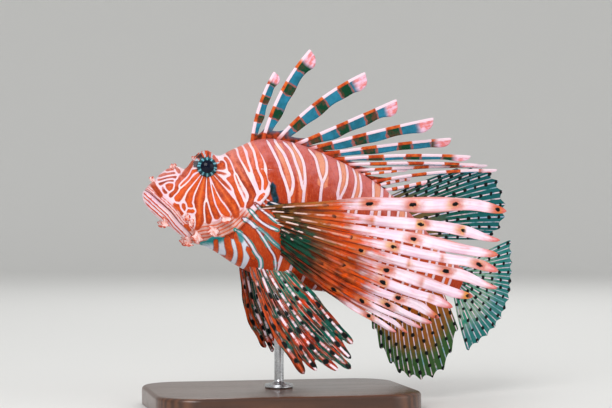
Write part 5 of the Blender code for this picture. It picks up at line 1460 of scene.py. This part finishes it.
class LIONFISH_OT_flaps(bpy.types.Operator):
    """Make the skin flaps over the eyes, on the snout, along the jaws and on the cheeks"""

    bl_idname = "lionfish.flaps"
    bl_label = "Skin flaps"

    def execute(self, context):
        parts = []
        for along, up, lean, length, width in FLAPS:
            direction = np.array(lean) / np.linalg.norm(lean)
            points, faces, fields = leaf(skin_point(along, up), direction, length, width)
            parts.append((posed(points), faces, fields))
            parts.append((posed(points * (1.0, 1.0, -1.0)), turned_over(faces), fields))
        points, faces, fields = join_parts(parts)
        finish = flap_finish(context.scene.lionfish_skin)
        add_piece("skin_flaps", points, faces, finish, fields=fields)
        return {"FINISHED"}


class LIONFISH_OT_eyes(bpy.types.Operator):
    """Make the glassy eyes"""

    bl_idname = "lionfish.eyes"
    bl_label = "Eyes"

    def execute(self, context):
        look = context.scene.lionfish_eyes
        finish = eye_finish(look)
        iris = np.linspace(0, 1, IRIS_RINGS)[:-1] * IRIS_ANGLE
        gaze = np.concatenate([iris, np.linspace(IRIS_ANGLE, 180.0, EYE_RINGS - len(iris))])
        polar, turn = np.radians(gaze)[:, None, None], round_turn(EYE_SIDES)[..., None]
        radius = look.radius / MM + CORNEA_HEIGHT * bell(np.degrees(polar), CORNEA_ANGLE)
        fields = {
            "gaze": (np.degrees(polar) + 0 * turn)[..., 0],
            "spoke": (np.abs(((turn / math.pi) % 2.0) - 1.0) * math.pi + 0 * polar)[..., 0],
        }
        for name, side in (("eye_left", 1.0), ("eye_right", -1.0)):
            axis = np.array(EYE_AXIS) * (1.0, 1.0, side)
            axis /= np.linalg.norm(axis)
            first = np.cross((0.0, 1.0, 0.0), axis)
            first /= np.linalg.norm(first)
            around = np.cos(turn) * first + np.sin(turn) * np.cross(axis, first)
            grid = radius * (np.cos(polar) * axis + np.sin(polar) * around)
            points, faces, values = tube(grid + (EYE_ALONG, EYE_UP, side * EYE_OUT), fields)
            add_piece(name + "_ball", posed(points), turned_over(faces), finish, [name], values)
        return {"FINISHED"}


class LIONFISH_OT_spiny_dorsal(bpy.types.Operator):
    """Make the thirteen dorsal spines with their ribbons"""

    bl_idname = "lionfish.spiny_dorsal"
    bl_label = "Spiny dorsal fin"

    def execute(self, context):
        look = context.scene.lionfish_fins
        rays = [(back_at(root, ROOT_DEEP), middle + (lean * 0.3,), tip + (lean,))
                for (root, middle, tip), lean in zip(DORSAL_SPINES, SPINE_LEAN)]
        reach = ribbon(SPINE_FRONT, SPINE_RIBBONS, widest=0.4, foot=0.5, tip=0.1, start=0.94,
                       stiff_front=True, lobe=0.22, waver=0.05)
        made = fan(rays, rows=84, web=0.12, widths=reach, ridge=look.spine / MM, ridge_width=1.0,
                   skin=look.skin / MM, strands=6, strips=5, notch=0.08, normal=(0.0, 0.0, -1.0))
        add_fin("spiny_dorsal", "spiny_dorsal_fin", spiny_finish(look), made)
        return {"FINISHED"}


class LIONFISH_OT_median_fins(bpy.types.Operator):
    """Make the soft dorsal, anal and tail fins"""

    bl_idname = "lionfish.median_fins"
    bl_label = "Soft dorsal, anal and tail fins"

    def execute(self, context):
        look = context.scene.lionfish_fins
        sheets = {
            "soft_dorsal": (tint(2, 80, 66), tint(4, 100, 96), tint(112, 84, 40), tint(8, 96, 100)),
            "anal": (tint(158, 90, 18), tint(124, 78, 14), tint(176, 76, 16), tint(16, 92, 40)),
            "caudal": (tint(28, 142, 116), tint(176, 188, 168), tint(4, 112, 92), tint(12, 120, 120)),
        }
        reach = ribbon(1.6, 1.6, widest=0.5, foot=0.6, tip=0.15, start=0.95)
        for name, keys, count, at in (
            ("soft_dorsal", SOFT_DORSAL_KEYS, 11, back_at),
            ("anal", ANAL_KEYS, 10, belly_at),
            ("caudal", CAUDAL_KEYS, 13, None),
        ):
            ends = [(place, *with_middle(at(root, ROOT_DEEP) if at else root + (0.0,), tip, bow))
                    for place, root, tip, bow in keys]
            made = fan(spread(ends, count), rows=56, web=0.98, widths=reach, ridge=0.6, ridge_width=0.55,
                       skin=look.skin / MM, strands=3, strips=6, notch=0.025)
            add_fin(name, name + "_fin", median_finish(look, name + "_skin", *sheets[name]), made)
        return {"FINISHED"}


class LIONFISH_OT_paired_fins(bpy.types.Operator):
    """Make the pectoral fins with their long straps, and the pelvic fins"""

    bl_idname = "lionfish.paired_fins"
    bl_label = "Pectoral and pelvic fins"

    def execute(self, context):
        look = context.scene.lionfish_fins
        strap = ribbon(STRAPS_BEFORE, STRAPS_BEHIND, widest=0.55, foot=0.3, tip=0.04, start=0.7, waver=0.1)
        leafy = ribbon(2.8, 2.8, widest=0.5, foot=0.6, tip=0.1, start=0.88, waver=0.1)
        loose = swaying(0.25, 0.8, wave=(13.0, 1.9, 0.9), lift=(10.0, 2.6, 1.3), cup=1.0, hook=1.6)
        stiff = swaying(0.2, 0.85, wave=(9.0, 2.1, 0.7), lift=(8.0, 1.3, 1.1), cup=0.5)
        web = np.linspace(0.35, 0.8, len(STRAPS_BEFORE) - 1)
        finish = pectoral_finish(look)
        for side, keys in (("left", PECTORAL_KEYS), ("right", far_side(PECTORAL_KEYS))):
            made = fan(spread(keys, len(STRAPS_BEFORE)), rows=90, web=web, widths=strap, ridge=0.75,
                       ridge_width=0.75, skin=look.skin / MM, strands=5, strips=6, notch=0.12, bent=False,
                       sway=loose)
            add_fin("pectoral_" + side, "pectoral_fin_" + side, finish, made)
        finish = pelvic_finish(look)
        for side, keys in (("left", PELVIC_LEFT_KEYS), ("right", PELVIC_RIGHT_KEYS)):
            made = fan(spread(keys, 6), rows=72, web=0.93, widths=leafy, ridge=0.65, ridge_width=0.6,
                       skin=look.skin / MM, strands=4, strips=8, notch=0.04, bent=False, sway=stiff)
            add_fin("pelvic_" + side, "pelvic_fin_" + side, finish, made)
        return {"FINISHED"}


class LIONFISH_OT_stand(bpy.types.Operator):
    """Make the walnut base and the steel rod"""

    bl_idname = "lionfish.stand"
    bl_label = "Display stand"

    def execute(self, context):
        look = context.scene.lionfish_stand
        sizes = (look.length, look.width, look.corner, look.edge, look.thick)
        length, width, corner, edge, thick = (size / MM for size in sizes)
        turn = np.linspace(0.0, 0.5 * math.pi, CORNER_POINTS)
        outline = []
        for quarter, (x, y) in enumerate(((1, 1), (-1, 1), (-1, -1), (1, -1))):
            angle = turn + quarter * 0.5 * math.pi
            centre = np.array([x * (length / 2 - corner), y * (width / 2 - corner)])
            outward = np.stack([np.cos(angle), np.sin(angle)], axis=1)
            outline.append(np.concatenate([np.broadcast_to(centre, outward.shape), outward], axis=1))
        outline = np.concatenate(outline)
        arc = np.linspace(0.0, 0.5 * math.pi, EDGE_POINTS)
        profile = [(corner * FLAT_RING, 0.0), (LOWER_EDGE, 0.0)]
        profile += [(LOWER_EDGE * (1 - math.sin(a)), LOWER_EDGE * (1 - math.cos(a))) for a in arc]
        profile += [(edge * (1 - math.cos(a)), thick - edge + edge * math.sin(a)) for a in arc]
        profile += [(corner * FLAT_RING, thick)]
        rings = []
        for inset, height in profile:
            ring = outline[:, :2] + outline[:, 2:] * max(corner - inset, 0.0)
            rings.append(np.concatenate([ring, np.full((len(ring), 1), height)], axis=1))
        middle = (0.0, 0.0, 1.0)
        points, faces, _ = tube(np.array([rings[0] * middle, *rings, rings[-1] * middle]))
        add_piece("stand_base_wood", points * MM, faces, walnut_finish(look), ["stand_base"])
        belly = posed(np.array([belly_at(ROD_ALONG)]))[0] / MM
        rod, top, low = look.rod / MM, belly[2] + ROD_IN, thick
        flank, shoulder = FOOT_RADIUS - FOOT_ROUND, low + FOOT_SIDE + FOOT_ROUND
        arc = np.linspace(0.0, 1.0, ROD_POINTS)
        profile = [(0.0, low), (FOOT_RADIUS, low), (FOOT_RADIUS, low + FOOT_SIDE)]
        profile += [(flank + FOOT_ROUND * math.cos(a * math.pi / 2),
                     low + FOOT_SIDE + FOOT_ROUND * math.sin(a * math.pi / 2)) for a in arc]
        profile += [(flank - (flank - rod) * a, shoulder + FOOT_FLARE * a**2.2) for a in arc[1:]]
        shaft = top - low - SHAFT_FROM_FOOT - SHAFT_FROM_TOP
        profile += [(rod, low + SHAFT_FROM_FOOT + shaft * a) for a in arc]
        profile += [(rod + CAP_WIDER * smooth_step(a, 0, 1), top - CAP_HEIGHT + CAP_FLARE * a) for a in arc]
        profile += [(rod + CAP_WIDER, top), (0.0, top)]
        rings = upright_rings(*np.array(profile).T, ROD_SIDES)
        points, faces, _ = tube(rings + (belly[0], belly[1], 0.0))
        add_piece("stand_rod_steel", points * MM, faces, steel_finish(look), ["stand_rod"])
        return {"FINISHED"}


class LIONFISH_OT_stage(bpy.types.Operator):
    """Make the floor, the lights and the camera"""

    bl_idname = "lionfish.stage"
    bl_label = "Stage"

    def execute(self, context):
        look, scene = context.scene.lionfish_stage, context.scene
        rise = np.linspace(0.05, math.pi / 2, 14)
        flat = np.linspace(0.5, FLOOR_FLAT, 6)
        radius = np.concatenate([[0.0], flat, FLOOR_FLAT + FLOOR_OUT * np.sin(rise)])
        height = np.concatenate([np.zeros(7), FLOOR_RISE * (1 - np.cos(rise))])
        grid = upright_rings(radius, height, FLOOR_SIDES)
        mesh = bpy.data.meshes.new("floor")
        index = np.arange(grid.size // 3).reshape(-1, FLOOR_SIDES)
        after = np.roll(index, -1, axis=1)
        quads = np.stack([index[:-1], index[1:], after[1:], after[:-1]], -1).reshape(-1, 4)
        mesh.from_pydata(grid.reshape(-1, 3).tolist(), [], quads[FLOOR_SIDES:].tolist() + [index[1].tolist()])
        mesh.shade_smooth()
        finish = Finish("studio_floor", Roughness=0.85)
        cloudy = (finish.noise(400.0) + 0.5) * 0.04
        mesh.materials.append(finish.done(finish.mix(cloudy, look.floor, (214, 214, 212))))
        floor = bpy.data.objects.new("floor", mesh)
        scene.collection.objects.link(floor)
        world = bpy.data.worlds.new("studio")
        scene.world = world
        world.use_nodes = True
        background = world.node_tree.nodes["Background"]
        background.inputs["Color"].default_value = (1.0, 1.0, 1.0, 1.0)
        background.inputs["Strength"].default_value = look.sky
        for (name, (place, size)), power in zip(LIGHTS.items(), (look.key, look.fill, look.fill)):
            light = bpy.data.lights.new(name, "AREA")
            light.size, light.energy = size, power
            lamp = bpy.data.objects.new(name, light)
            lamp.location = place
            lamp.rotation_euler = (Vector(LIGHT_TARGET) - Vector(place)).to_track_quat("-Z", "Y").to_euler()
            scene.collection.objects.link(lamp)
        back = Vector((math.sin(CAMERA_TURN), -math.cos(CAMERA_TURN), 0.0))
        aim = Vector((-SNOUT_AHEAD, 0.0, SNOUT_HEIGHT)) * MM + Vector(AIM_FROM_SNOUT)
        camera = bpy.data.objects.new("camera", bpy.data.cameras.new("camera"))
        camera.data.sensor_width = SENSOR_WIDTH
        camera.data.lens = SENSOR_WIDTH * look.camera_distance / (PHOTO_WIDTH / PIXELS_PER_METRE)
        camera.location = aim + back * look.camera_distance
        camera.rotation_euler = back.to_track_quat("Z", "Y").to_euler()
        scene.collection.objects.link(camera)
        scene.camera = camera
        scene.view_settings.view_transform = "Standard"
        return {"FINISHED"}


class LIONFISH_PT_panel(bpy.types.Panel):
    """Lists the settings and the makers of the model"""

    bl_label = "Lionfish"
    bl_idname = "LIONFISH_PT_panel"
    bl_space_type = "VIEW_3D"
    bl_region_type = "UI"
    bl_category = "Lionfish"

    def draw(self, context):
        for name, (look, operators) in PAGES.items():
            box = self.layout.box()
            for key in look.__annotations__:
                box.prop(getattr(context.scene, name), key)
            for operator in operators:
                box.operator(operator.bl_idname)


# The settings by their name in the scene, each with its operators, in the order in which these are run
PAGES = {
    "lionfish_stage": (LionfishStageLook, (LIONFISH_OT_stage,)),
    "lionfish_skin": (LionfishSkinLook, (LIONFISH_OT_skin, LIONFISH_OT_flaps)),
    "lionfish_eyes": (LionfishEyeLook, (LIONFISH_OT_eyes,)),
    "lionfish_fins": (
        LionfishFinLook,
        (LIONFISH_OT_spiny_dorsal, LIONFISH_OT_median_fins, LIONFISH_OT_paired_fins),
    ),
    "lionfish_stand": (LionfishStandLook, (LIONFISH_OT_stand,)),
}
LOOKS = {name: look for name, (look, _) in PAGES.items()}
OPERATORS = [operator for _, operators in PAGES.values() for operator in operators]
CLASSES = (*LOOKS.values(), *OPERATORS, LIONFISH_PT_panel)


def register():
    for cls in CLASSES:
        bpy.utils.register_class(cls)
    for name, look in LOOKS.items():
        setattr(bpy.types.Scene, name, PointerProperty(type=look))


def unregister():
    for name in LOOKS:
        delattr(bpy.types.Scene, name)
    for cls in reversed(CLASSES):
        bpy.utils.unregister_class(cls)


def main():
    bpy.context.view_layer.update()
    register()
    for operator in OPERATORS:
        getattr(bpy.ops.lionfish, operator.bl_idname.split(".")[1])()


if __name__ == "__main__":
    main()
